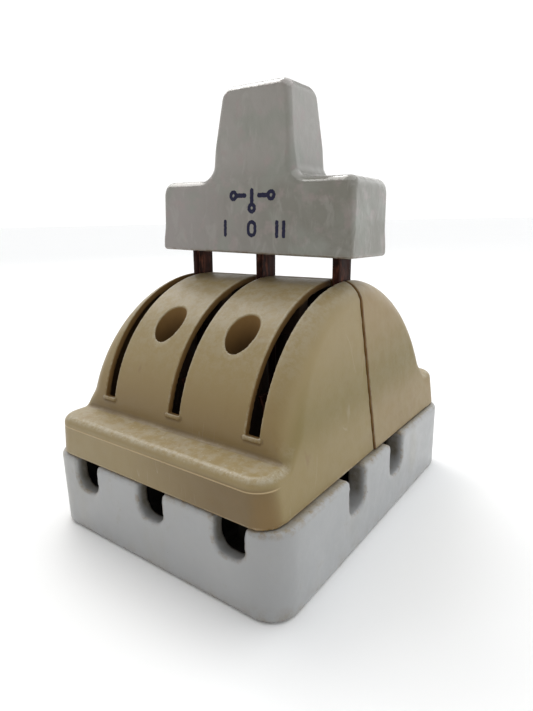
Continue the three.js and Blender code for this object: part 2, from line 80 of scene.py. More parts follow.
DOME = dict(radius=47.8, edge=6.6)
COVER = dict(half=(44.6, 59.2), corner=7.0, bottom=26.4, wall=2.2, draft=0.13, split=0.15)
REAR_OFFSET = 0.9
FLANGE = dict(top=39.5, edge=2.3, fillet=1.2)
SLOT = dict(half=2.4, end=math.radians(12.9))
WELL = dict(bore=5.3, tube=7.3, y=-32.0, floor=29.4, hole=2.3)
RIB = dict(y=-16.2, half=2.2, bottom=66.0)

JAW = dict(y=-35.5, half=4.0, leaf=1.2, gap=1.5, straight=50.5, top=53.5, flare=1.3)
JAW_PLATE = dict(outer=-48.0, inner=-31.0, terminal=-44.4)
PLATE = dict(bottom=21.2, thickness=1.5, half=4.5, screw_hole=2.1, terminal_hole=2.2)
HINGE = dict(half=5.0, ear=1.5, gap=1.5, hole=2.25, short=7.0, long=21.0, terminal=16.0)

BLADE = dict(half=(1.2, 4.3), eye=5.6, top=101.0, hole=2.3)
BAR = dict(half=(38.8, 11.9), bottom=89.7, top=113.4, edge=3.1, foot_edge=1.2, taper=0.3)
STEM = dict(shift=0.3, foot=(17.0, 11.0), tip=(13.0, 8.5), top=142.6, edge=3.6, fillet=4.5)
POCKET = dict(half=(3.5, 5.6), depth=14.0)
HANDLE_ROLL = math.radians(1.36)
HANDLE_SHIFT = 0.6
RESTING_LEAN = math.radians(-1.3)

WELL_X = (-POLE_PITCH / 2 + SIDE_SHIFT, POLE_PITCH / 2 + SIDE_SHIFT)
TALL = 50.0  # half the height of a cutter that is open at the top


def pole_x(pole):
    return pole * POLE_PITCH + POLE_SHIFT


def hinge_side(pole):
    """Which way a pole's common terminal points."""
    return -1 if pole > 0 else 1


def hinge_ends(side):
    """The lowest and highest Y of a hinge clip."""
    return (-HINGE["short"], HINGE["long"]) if side > 0 else (-HINGE["long"], HINGE["short"])


# ---------- distance fields


def length(*parts):
    return np.sqrt(sum(part * part for part in parts))


def union(a, b, radius=0.0):
    """Two solids joined, with a fillet where they meet."""
    if radius <= 0:
        return np.minimum(a, b)
    u = np.maximum(radius - a, 0)
    v = np.maximum(radius - b, 0)
    return np.maximum(radius, np.minimum(a, b)) - length(u, v)


def both(a, b, radius=0.0):
    """What two solids share, with the edge between them rounded."""
    if np.isscalar(radius) and radius <= 0:
        return np.maximum(a, b)
    u = np.maximum(radius + a, 0)
    v = np.maximum(radius + b, 0)
    return np.minimum(-radius, np.maximum(a, b)) + length(u, v)


def cut(a, b, radius=0.0):
    """The first solid less the second, with the new edge rounded."""
    return both(a, -b, radius)


def rectangle(x, y, half_x, half_y, corner):
    """A rectangle in two dimensions with round corners."""
    dx = np.abs(x) - half_x + corner
    dy = np.abs(y) - half_y + corner
    outside = length(np.maximum(dx, 0), np.maximum(dy, 0))
    return outside + np.minimum(np.maximum(dx, dy), 0) - corner


def slab(z, low, high):
    return np.abs(z - (low + high) / 2) - (high - low) / 2


def ease(value, low, high):
    t = np.clip((value - low) / (high - low), 0, 1)
    return t * t * (3 - 2 * t)


def from_poles(x):
    """How far in X from the nearest pole's middle."""
    return np.minimum.reduce([np.abs(x - pole * POLE_PITCH) for pole in POLES.values()])


def from_wells(x, y):
    """How far from the axis of the nearest screw well."""
    return np.minimum.reduce([length(x - centre, y - WELL["y"]) for centre in WELL_X])


def hexagon(x, y, across_flats):
    ax = np.abs(x)
    ay = np.abs(y)
    return np.maximum(ay, ax * math.cos(math.pi / 6) + ay * 0.5) - across_flats / 2


# ---------- meshing


def grid_axis(low, high, step, fine=()):
    """Sample places along one axis, closer together around each (place, reach, small step)."""
    places = [low - 2 * step]
    while places[-1] < high + 2 * step:
        here = places[-1]
        gap = step
        for place, reach, small in fine:
            start = place - reach
            if start <= here < place + reach:
                gap = min(gap, small)
            elif here < start < here + gap:
                gap = max(start - here, small)
        places.append(here + gap)
    return np.array(places)


CORNERS = [(i, j, k) for i in (0, 1) for j in (0, 1) for k in (0, 1)]
EDGES = [
    (a, b)
    for a in CORNERS
    for b in CORNERS
    if a < b and sum(abs(p - q) for p, q in zip(a, b)) == 1
]


def gradient(field, points, step):
    columns = []
    for axis in range(3):
        ahead = points.copy()
        behind = points.copy()
        ahead[:, axis] += step
        behind[:, axis] -= step
        columns.append((field(*ahead.T) - field(*behind.T)) / (2 * step))
    return np.stack(columns, 1)


def settle(field, points, cell):
    """Moves points on to the surface, each staying close to the cell that it came from."""
    start = points.copy()
    probe = 0.1 * cell.min()
    for _ in range(4):
        value = field(*points.T)
        slope = gradient(field, points, probe)
        steep = np.maximum((slope * slope).sum(1), 0.2)
        points = points - (value / steep)[:, None] * slope
        points = start + np.clip(points - start, -0.7 * cell, 0.7 * cell)
    return points


def surface_net(field, low, high, step, fine=((), (), ())):
    """Points and quads of the surface where the field is zero."""
    axes = [grid_axis(*limits, step, near) for *limits, near in zip(low, high, fine)]
    grid = field(*np.meshgrid(*axes, indexing="ij"))
    inside = grid < 0
    size = [n - 1 for n in grid.shape]

    def shifted(array, corner):
        return array[tuple(slice(c, c + n) for c, n in zip(corner, size))]

    count = sum(shifted(inside, corner).astype(np.int8) for corner in CORNERS)
    cells = np.argwhere((count > 0) & (count < 8))
    number = np.full(size, -1, np.int64)
    number[tuple(cells.T)] = np.arange(len(cells))
    total = np.zeros((len(cells), 3))
    crossings = np.zeros(len(cells))
    for a, b in EDGES:
        value_a = grid[tuple((cells + a).T)]
        value_b = grid[tuple((cells + b).T)]
        crosses = (value_a < 0) != (value_b < 0)
        share = np.where(crosses, value_a / np.where(crosses, value_a - value_b, 1), 0)
        spot = np.array(a) + share[:, None] * (np.array(b) - np.array(a))
        total += crosses[:, None] * spot
        crossings += crosses
    corner = np.stack([axis[cells[:, i]] for i, axis in enumerate(axes)], 1)
    cell = np.stack([np.diff(axis)[cells[:, i]] for i, axis in enumerate(axes)], 1)
    points = settle(field, corner + total / crossings[:, None] * cell, cell)
    quads = []
    for axis in range(3):
        u = (axis + 1) % 3
        v = (axis + 2) % 3
        ahead = np.take(inside, np.arange(1, inside.shape[axis]), axis)
        behind = np.take(inside, np.arange(0, inside.shape[axis] - 1), axis)
        for first, flip in ((behind & ~ahead, False), (ahead & ~behind, True)):
            spot = np.argwhere(first)
            spot = spot[(spot[:, u] > 0) & (spot[:, v] > 0)]
            around = []
            for du, dv in ((-1, -1), (0, -1), (0, 0), (-1, 0)):
                neighbour = spot.copy()
                neighbour[:, u] += du
                neighbour[:, v] += dv
                around.append(number[tuple(neighbour.T)])
            quad = np.stack(around, 1)
            quads.append(quad[:, ::-1] if flip else quad)
    return points, np.concatenate(quads)


def bend_of(field, points, reach):
    """How the surface bends at each point: above 0 on an outer edge, below 0 in a corner."""
    total = -6 * field(*points.T)
    for axis in range(3):
        for sign in (-1, 1):
            moved = points.copy()
            moved[:, axis] += sign * reach
            total += field(*moved.T)
    return total / reach


def new_object(name, data):
    obj = bpy.data.objects.new(name, data)
    bpy.context.scene.collection.objects.link(obj)
    return obj


def mesh_object(name, points, quads, attributes):
    mesh = bpy.data.meshes.new(name)
    mesh.vertices.add(len(points))
    mesh.vertices.foreach_set("co", (points * MM).astype(np.float32).ravel())
    mesh.loops.add(quads.size)
    mesh.loops.foreach_set("vertex_index", quads.astype(np.int32).ravel())
    mesh.polygons.add(len(quads))
    mesh.polygons.foreach_set("loop_start", np.arange(0, quads.size, 4, dtype=np.int32))
    mesh.polygons.foreach_set("loop_total", np.full(len(quads), 4, np.int32))
    mesh.update(calc_edges=True)
    mesh.shade_smooth()
    for key, values in attributes.items():
        layer = mesh.attributes.new(key, "FLOAT", "POINT")
        layer.data.foreach_set("value", values.astype(np.float32))
    return new_object(name, mesh)


# ---------- porcelain base


def notch_field(along, z, bottom):
    """A wire notch in two dimensions: round bottom, rounded mouth, slightly uneven sides."""
    uneven = 0.1 * np.sin(0.9 * z + 0.23 * along) + 0.07 * np.sin(2.1 * z - 0.61 * along)
    mouth = BASE["height"] + NOTCH["lip"] - z
    notch = rectangle(along, z - bottom - TALL, NOTCH["half"], TALL, NOTCH["bottom_radius"])
    return union(notch + uneven, mouth, 2.2)


def base_end_notches(x, y, z):
    """Cutters of the notches in the front wall and in the +X wall."""
    front = y + (BASE["half"][1] + CHAMBER["half"][1]) / 2
    side = x - (BASE["half"][0] + CHAMBER["half"][0]) / 2
    notches = []
    for pole in POLES.values():
        notch = notch_field(x - pole * POLE_PITCH - SIDE_SHIFT, z, NOTCH["front_bottom"])
        notches.append(np.maximum(notch, np.abs(front) - NOTCH["reach"]))
    for centre in SIDE_NOTCH_Y:
        notch = notch_field(y - centre, z, NOTCH["side_bottom"])
        notches.append(np.maximum(notch, np.abs(side) - NOTCH["reach"]))
    return np.minimum.reduce(notches)


def base_end_details(x, y, z):
    """Bosses under one half cover, added to the floor of the chambers."""
    boss = length(np.abs(x) - MOUNT["x"], y - MOUNT["y"]) - MOUNT["boss"]
    return np.minimum(from_wells(x, y) - WELL["tube"], boss)


def base_end_holes(x, y, z):
    """Screw holes, nut pockets and counterbores at one end of the base."""
    radial = length(np.abs(x) - MOUNT["x"], y - MOUNT["y"])
    holes = [
        from_wells(x, y) - WELL["hole"],
        radial - MOUNT["hole"],
        np.maximum(radial - MOUNT["head"], MOUNT["seat"] - z),
    ]
    for centre in WELL_X:
        pocket = hexagon(x - centre, y - WELL["y"], NUT_POCKET["across_flats"])
        holes.append(np.maximum(pocket, z - NUT_POCKET["deep"]))
    return np.minimum.reduce(holes)


def contact_holes(x, y, z):
    """Holes for the screws of the contacts and for the ends of the terminal screws."""
    holes = []
    for pole in POLES.values():
        dx = x - pole_x(pole)
        for at_y in (JAW["y"], 0, -JAW["y"]):
            radial = length(dx, y - at_y)
            head = np.maximum(radial - CONTACT_HOLE["head"], z - CONTACT_HOLE["deep"])
            holes += [radial - CONTACT_HOLE["shank"], head]
        common = HINGE["terminal"] * hinge_side(pole)
        for at_y in (JAW_PLATE["terminal"], -JAW_PLATE["terminal"], common):
            radial = length(dx, y - at_y) - TERMINAL_HOLE["radius"]
            holes.append(np.maximum(radial, TERMINAL_HOLE["bottom"] - z))
    return np.minimum.reduce(holes)


def base_field(x, y, z):
    plan = rectangle(x, y, *BASE["half"], BASE["corner"])
    solid = both(plan, z - BASE["height"], BASE["top_edge"])
    solid = both(solid, -z, BASE["foot_edge"])
    room = rectangle(x, y, *CHAMBER["half"], CHAMBER["corner"])
    partition = np.abs(np.abs(x) - POLE_PITCH / 2) - CHAMBER["partition"] / 2
    along = np.where(x > 0, y, -y) - SIDE_NOTCH_Y[1]
    above = z - PASSAGE["bottom"] - TALL
    through = rectangle(along, above, PASSAGE["half"], TALL, PASSAGE["corner"])
    partition = cut(partition, through, 0.8)
    details = np.minimum(base_end_details(x, y, z), base_end_details(-x, -y, z))
    for pole in POLES.values():
        dx = x - pole_x(pole)
        side = hinge_side(pole)
        middle = sum(hinge_ends(side)) / 2
        reach = (HINGE["long"] + HINGE["short"]) / 2 + 1
        jaw_half = (JAW_PLATE["inner"] - JAW_PLATE["outer"]) / 2 + 0.7
        jaw_middle = (JAW_PLATE["inner"] + JAW_PLATE["outer"]) / 2 + 0.3
        pad = rectangle(dx, y - middle, PEDESTAL["half"], reach, 1)
        pad = np.minimum(pad, rectangle(dx, np.abs(y) + jaw_middle, PEDESTAL["half"], jaw_half, 1))
        details = np.minimum(details, both(pad, z - PEDESTAL["top"], 0.8))
    details = union(details, partition, 1.5)
    chamber = cut(np.maximum(room, CHAMBER["floor"] - z), details, 0.6)
    solid = cut(solid, chamber, 1.0)
    notches = np.minimum(base_end_notches(x, y, z), base_end_notches(-x, -y, z))
    solid = cut(solid, notches, NOTCH["lip"])
    holes = np.minimum(base_end_holes(x, y, z), base_end_holes(-x, -y, z))
    return cut(solid, np.minimum(holes, contact_holes(x, y, z)), 0.5)


# ---------- moulded half cover


def cover_skin(x, y, z):
    """The outer surface of a half cover, about its own middle."""
    lean = COVER["draft"] * (z - BASE["height"])
    plan = rectangle(x, y, COVER["half"][0] - lean, COVER["half"][1], COVER["corner"])
    drum = np.where(z > PIVOT_Z, length(y, z - PIVOT_Z), np.abs(y)) - DOME["radius"]
    profile = union(drum, z - FLANGE["top"], FLANGE["fillet"])
    edge = FLANGE["edge"] + (DOME["edge"] - FLANGE["edge"]) * ease(z, 39, 46)
    return both(plan, profile, edge)


def past_slot_end(y, z):
    """How far round from the face at the lower end of the slots, above 0 towards the split."""
    return y * math.sin(SLOT["end"]) + (z - PIVOT_Z) * math.cos(SLOT["end"])


def cover_slots(x, y, z):
    """The blade slots, open at the split, each ending at a radial face."""
    return both(from_poles(x) - SLOT["half"], -past_slot_end(y, z), 0.35)


def cover_lips(x, y, z):
    """A low raised rim under the lower end of each slot."""
    radial = length(y, z - PIVOT_Z) - DOME["radius"]
    band = np.maximum(np.abs(past_slot_end(y, z) + 0.55) - 0.6, np.abs(radial + 0.7) - 1.25)
    return both(np.where(y < 0, band, 5.0), from_poles(x) - SLOT["half"] - 0.6, 0.25)


def shell_x(x, y, offset):
    """X about the middle of a crooked shell, which strays by half the offset at the split."""
    return x - offset * (0.5 - 0.7 * y / COVER["half"][1])


def cover_field(x, y, z, offset=0.0):
    """One half cover, its shell slightly crooked on its wells and slots."""
    skin = cover_skin(shell_x(x, y, offset), y, z)
    solid = np.maximum(skin, -(skin + COVER["wall"]))
    rib = np.maximum(np.abs(y - RIB["y"]) - RIB["half"], RIB["bottom"] - z)
    radial = from_wells(x, y)
    bores = both(radial - WELL["bore"], WELL["floor"] - z, 1.0)
    bores = np.minimum(radial - WELL["hole"], bores)
    inside = np.maximum(np.minimum(rib, radial - WELL["tube"]), skin + 1.3)
    solid = union(solid, inside, 0.8)
    solid = union(solid, cover_lips(x, y, z), 0.2)
    solid = cut(solid, cover_slots(x, y, z), 0.2)
    solid = cut(solid, bores, 0.25)
    solid = both(solid, y + COVER["split"], 0.15)
    return both(solid, COVER["bottom"] - z, 0.25)


# ---------- porcelain handle


def handle_pockets(x, y, z):
    pocket = rectangle(from_poles(x), y, *POCKET["half"], 0.8)
    return np.maximum(pocket, z - BAR["bottom"] - POCKET["depth"])


def handle_field(x, y, z):
    """The T in its own frame, before it is set crooked on the blades."""
    bar_middle = (BAR["bottom"] + BAR["top"]) / 2
    half_x = BAR["half"][0] - BAR["taper"] * (z - bar_middle) / (BAR["top"] - bar_middle)
    rounding = ease(z, BAR["bottom"] + 2.5, BAR["bottom"] + 9)
    edge = BAR["foot_edge"] + (BAR["edge"] - BAR["foot_edge"]) * rounding
    bar = rectangle(x, z - bar_middle, half_x, BAR["top"] - bar_middle, edge)
    rise = np.clip((z - BAR["top"]) / (STEM["top"] - BAR["top"]), -0.4, 1.2)
    half_x = STEM["foot"][0] + (STEM["tip"][0] - STEM["foot"][0]) * rise
    low = BAR["bottom"] + 5
    middle = (low + STEM["top"]) / 2
    stem = rectangle(x - STEM["shift"], z - middle, half_x, STEM["top"] - middle, STEM["edge"])
    outline = union(bar, stem, STEM["fillet"])
    half_y = BAR["half"][1] + (STEM["foot"][1] - BAR["half"][1]) * ease(z, 111.2, 117.2)
    half_y = half_y + (STEM["tip"][1] - STEM["foot"][1]) * np.maximum(rise, 0)
    shoulder = ease(z, 108.5, 112.5) * ease(-z, -125, -114.5)
    crown = ease(z, 138, 142)
    solid = both(outline, np.abs(y) - half_y, (0.62 + 0.45 * np.maximum(shoulder, crown)) * edge)
    return cut(solid, handle_pockets(x, y, z), 0.6)


def cement_field(x, y, z):
    """Cement round one blade, about its pocket's middle in the handle's frame."""
    lumps = 0.25 * np.sin(1.9 * x + 0.7) * np.sin(1.3 * y) + 0.12 * np.sin(4.1 * y + 2.3 * x)
    plug = rectangle(x, y, POCKET["half"][0] - 0.3, POCKET["half"][1] - 0.3, 0.8)
    top = BAR["bottom"] + POCKET["depth"] - 0.3
    solid = both(plug, slab(z, BAR["bottom"] + 1.0 + lumps, top), 0.4)
    hole = rectangle(x + HANDLE_SHIFT, y, 1.5, BLADE["half"][1] + 0.3, 0.3)
    return cut(solid, np.maximum(hole, z - BLADE["top"] - 1.2), 0.2)


def lean_back(points):
    """Turns the swinging pieces about the pivot to where they rest."""
    sine = math.sin(RESTING_LEAN)
    cosine = math.cos(RESTING_LEAN)
    y = points[:, 1]
    z = points[:, 2] - PIVOT_Z
    return np.stack([points[:, 0], y * cosine - z * sine, PIVOT_Z + y * sine + z * cosine], 1)


def set_crooked(points):
    """From the handle's own frame to the switch's frame."""
    middle = BAR["bottom"] + POCKET["depth"] / 2
    sine = math.sin(HANDLE_ROLL)
    cosine = math.cos(HANDLE_ROLL)
    x = points[:, 0]
    z = points[:, 2] - middle
    shift = POLE_SHIFT + HANDLE_SHIFT
    rolled = [shift + x * cosine + z * sine, points[:, 1], middle - x * sine + z * cosine]
    return lean_back(np.stack(rolled, 1))


# ---------- printed marks


def stroke(x, z, start, end, half):
    """A straight stroke with round ends, in the face's plane."""
    run = np.array(end) - np.array(start)
    px = x - start[0]
    pz = z - start[1]
    share = np.clip((px * run[0] + pz * run[1]) / max(run @ run, 1e-9), 0, 1)
    return length(px - share * run[0], pz - share * run[1]) - half


def marks_plan(x, z):
    """A changeover symbol over the three positions I, O and II."""
    top = 106.4
    low = 95.6
    high = 99.9
    middle = 2.4
    shapes = [
        np.abs(rectangle(x - middle, z - (low + high) / 2, 1.95, 2.7, 1.95) + 0.58) - 0.58,
        stroke(x, z, (middle, top - 0.9), (middle, top + 3.2), 0.72),
    ]
    for dx, dz in ((0, -2.2), (-7.6, 1.7), (7.6, 1.7)):
        ring = np.abs(length(x - (middle + dx), z - (top + dz)) - 1.1) - 0.62
        shapes.append(ring)
    for dx in (-6.2, 2.9):
        shapes.append(stroke(x, z, (middle + dx, top + 1.7), (middle + dx + 3.3, top + 1.7), 0.72))
    for dx in (-11.2, 10.0, 12.6):
        shapes.append(stroke(x, z, (middle + dx, low), (middle + dx, high), 0.62))
    return np.minimum.reduce(shapes)


# The marks are meshed five times as thick as they are, then pressed flat on the face.
MARKS_THICKER = 5.0
MARKS_PROUD = 0.05
MARKS_LIMITS = ((-12, -0.3, 93), (18, 0.3, 111))


def marks_field(x, y, z):
    ragged = 0.08 * np.sin(5.3 * x + 1.1 * z) * np.sin(4.7 * z - 2.0 * x)
    return both(marks_plan(x, z) + ragged, np.abs(y) - MARKS_PROUD * MARKS_THICKER, 0.1)


def press_marks(points):
    points = points.copy()
    points[:, 1] = points[:, 1] / MARKS_THICKER - BAR["half"][1]
    return set_crooked(points)


# ---------- metal


def blade_field(x, y, z):
    dz = z - PIVOT_Z
    strip = np.maximum(np.abs(y) - BLADE["half"][1], np.maximum(-dz, z - BLADE["top"]))
    outline = union(strip, length(y, dz) - BLADE["eye"], 3.0)
    outline = np.maximum(outline, BLADE["hole"] - length(y, dz))
    return both(outline, np.abs(x) - BLADE["half"][0], 0.35)


def strip_flat(x, y, z, low, high, terminal_y):
    """The flat strip of a contact, and the bore of its terminal screw."""
    plan = rectangle(x, y - (low + high) / 2, PLATE["half"], (high - low) / 2, 1.0)
    flat = both(plan, slab(z, PLATE["bottom"], PLATE["bottom"] + PLATE["thickness"]), 0.3)
    return flat, PLATE["terminal_hole"] - length(x, y - terminal_y)


def jaw_field(x, y, z):
    """Two leaves that flare at the mouth, bent up from one strip with the terminal plate."""
    gap = JAW["gap"] + JAW["flare"] * ease(z, JAW["straight"] - 1.5, JAW["top"])
    leaf = np.abs(np.abs(x) - gap - JAW["leaf"] / 2) - JAW["leaf"] / 2
    leaf = np.maximum(leaf, slab(z, PLATE["bottom"], JAW["top"]))
    leaf = both(leaf, np.abs(y - JAW["y"]) - JAW["half"], 0.3)
    ends = (JAW_PLATE["outer"], JAW_PLATE["inner"])
    flat, terminal = strip_flat(x, y, z, *ends, JAW_PLATE["terminal"])
    solid = np.maximum(union(leaf, flat, 0.6), PLATE["screw_hole"] - length(x, y - JAW["y"]))
    return np.maximum(solid, terminal)


def hinge_clip_field(side):
    def field(x, y, z):
        ear = np.abs(np.abs(x) - HINGE["gap"] - HINGE["ear"] / 2) - HINGE["ear"] / 2
        dz = np.maximum(z - PIVOT_Z, 0)
        outline = np.maximum(length(y, dz) - HINGE["half"], PLATE["bottom"] - z)
        outline = np.maximum(outline, HINGE["hole"] - length(y, z - PIVOT_Z))
        ear = both(ear, outline, 0.3)
        flat, terminal = strip_flat(x, y, z, *hinge_ends(side), HINGE["terminal"] * side)
        solid = np.maximum(union(ear, flat, 0.6), PLATE["screw_hole"] - length(x, y))
        return np.maximum(solid, terminal)

    return field


def screw_field(head, head_height, shank, deep, slot, pitch=0.8):
    """A slotted screw along Z with the underside of its head at z = 0."""

    def field(x, y, z):
        radial = length(x, y)
        turn = z / pitch - np.arctan2(y, x) / (2 * math.pi)
        ridge = np.abs(turn - np.floor(turn) - 0.5) * 2
        thread = radial - shank + 0.3 * pitch * ridge * (z < -1.0)
        stem = both(thread * 0.85, slab(z, -deep, head_height / 2), 0.4)
        crown = 2.2 * head
        dome = length(x, y, z - head_height + crown) - crown
        cap = both(np.maximum(radial - head, -z), dome, 0.3)
        groove = np.maximum(np.abs(y) - slot / 2, head_height * 0.5 - z)
        return np.minimum(stem, cut(cap, groove, 0.12))

    return field


def nut_field(across_flats, height, hole):
    def field(x, y, z):
        radial = length(x, y)
        body = both(hexagon(y, x, across_flats), slab(z, 0, height), 0.25)
        body = np.maximum(body, radial - across_flats * 0.54)
        return np.maximum(body, hole - radial)

    return field


SCREWS = {
    "cover_screw": dict(head=4.0, head_height=2.6, shank=2.0, deep=25.0, slot=1.2),
    "clip_screw": dict(head=3.6, head_height=2.4, shank=1.8, deep=16.0, slot=1.1),
    "terminal_screw": dict(head=4.1, head_height=2.8, shank=1.9, deep=9.5, slot=1.2),
    "pivot_bolt": dict(head=3.4, head_height=2.4, shank=1.95, deep=10.4, slot=1.0),
}
NUTS = {
    "cover_nut": dict(across_flats=7.0, height=3.2, hole=2.3),
    "pivot_nut": dict(across_flats=7.0, height=2.8, hole=2.25),
}


# ---------- procedural materials


class Nodes:
    """Adds nodes to the tree of a material or a world."""

    def __init__(self, owner):
        owner.use_nodes = True
        self.owner = owner
        self.tree = owner.node_tree

    def add(self, kind, *values, **settings):
        node = self.tree.nodes.new(kind)
        for key, value in settings.items():
            setattr(node, key, value)
        for socket, value in zip(node.inputs, values):
            self.feed(socket, value)
        return node

    def feed(self, socket, value):
        if isinstance(value, bpy.types.NodeSocket):
            self.tree.links.new(value, socket)
        elif value is not None:
            socket.default_value = value

    def set(self, node, **values):
        for key, value in values.items():
            self.feed(node.inputs[key.replace("_", " ")], value)

    def math(self, operation, a, b=None):
        return self.add("ShaderNodeMath", a, b, operation=operation).outputs["Value"]

    def times(self, *values):
        total = values[0]
        for value in values[1:]:
            total = self.math("MULTIPLY", total, value)
        return total

    def most(self, *values):
        total = values[0]
        for value in values[1:]:
            total = self.math("MAXIMUM", total, value)
        return total

    def ramp(self, value, low, high, start=0.0, end=1.0):
        node = self.add("ShaderNodeMapRange", interpolation_type="SMOOTHSTEP")
        self.set(node, Value=value, From_Min=low, From_Max=high, To_Min=start, To_Max=end)
        return node.outputs["Result"]


class Finish(Nodes):
    """A node material whose textures are laid out in the piece's own millimetres."""

    def __init__(self, name):
        super().__init__(bpy.data.materials.new(name))
        place = self.add("ShaderNodeTexCoord").outputs["Object"]
        place = self.add("ShaderNodeVectorMath", place, (1 / MM,) * 3, operation="MULTIPLY")
        self.place = place.outputs["Vector"]
        axes = self.add("ShaderNodeSeparateXYZ", self.place)
        self.x = axes.outputs["X"]
        self.y = axes.outputs["Y"]
        self.z = axes.outputs["Z"]
        self.seed = 0.0
        self.tint = None

    def size_of(self, value):
        return self.math("ABSOLUTE", value)

    def spot(self, size, stretch):
        """Texture space in units of size, moved on so that no two textures line up."""
        self.seed += 17.3
        scale = tuple(1 / (size * s) for s in stretch)
        shift = (self.seed, self.seed * 0.7, -self.seed)
        node = self.add("ShaderNodeVectorMath", self.place, scale, shift, operation="MULTIPLY_ADD")
        return node.outputs["Vector"]

    def noise(self, size, detail=3.0, roughness=0.5, stretch=(1, 1, 1), twist=0.0):
        node = self.add("ShaderNodeTexNoise")
        self.set(node, Vector=self.spot(size, stretch), Scale=1.0)
        self.set(node, Detail=detail, Roughness=roughness, Distortion=twist)
        return node.outputs["Factor" if "Factor" in node.outputs else "Fac"]

    def specks(self, spacing, radius, share=0.5):
        """Round specks up to a radius, in some of the cells of a random lattice."""
        node = self.add("ShaderNodeTexVoronoi")
        self.set(node, Vector=self.spot(spacing, (1, 1, 1)), Scale=1.0)
        chance = self.add("ShaderNodeSeparateColor", node.outputs["Color"])
        size = self.ramp(chance.outputs["Red"], 1 - share, 1, 0, radius / spacing)
        within = self.math("SUBTRACT", size, node.outputs["Distance"])
        return self.ramp(within, 0, 0.3 * radius / spacing)

    def scratches(self, size, stretch, width=0.012, twist=0.4):
        """Thin wandering lines: where one stretched noise passes its middle value."""
        line = self.noise(size, 1.0, 0.4, stretch, twist)
        line = self.size_of(self.math("SUBTRACT", line, 0.5))
        gate = self.ramp(self.noise(size * 0.8, 2.0, 0.6), 0.56, 0.66)
        return self.times(self.ramp(line, 0.0, width, 1, 0), gate)

    def attribute(self, name):
        return self.add("ShaderNodeAttribute", attribute_name=name).outputs["Fac"]

    def mottle(self, factor, a, b):
        """Sets the tint to a mix of two colours."""
        node = self.add("ShaderNodeMix", data_type="RGBA")
        for index, value in ((0, factor), (6, a), (7, b)):
            if isinstance(value, tuple):
                value = (*value, 1.0)
            self.feed(node.inputs[index], value)
        self.tint = node.outputs[2]

    def paint(self, factor, colour, share=None):
        """Lays a colour over the tint, as far as the factor says, or a share of that."""
        if share is not None:
            factor = self.times(factor, share)
        self.mottle(factor, self.tint, colour)

    def bump(self, height, distance, normal=None):
        node = self.add("ShaderNodeBump")
        self.set(node, Height=height, Strength=1.0, Distance=distance * MM, Normal=normal)
        return node.outputs["Normal"]

    def done(self, roughness, normal=None, **constants):
        shader = self.tree.nodes["Principled BSDF"]
        self.set(shader, Base_Color=self.tint, Roughness=roughness, Normal=normal, **constants)
        return self.owner


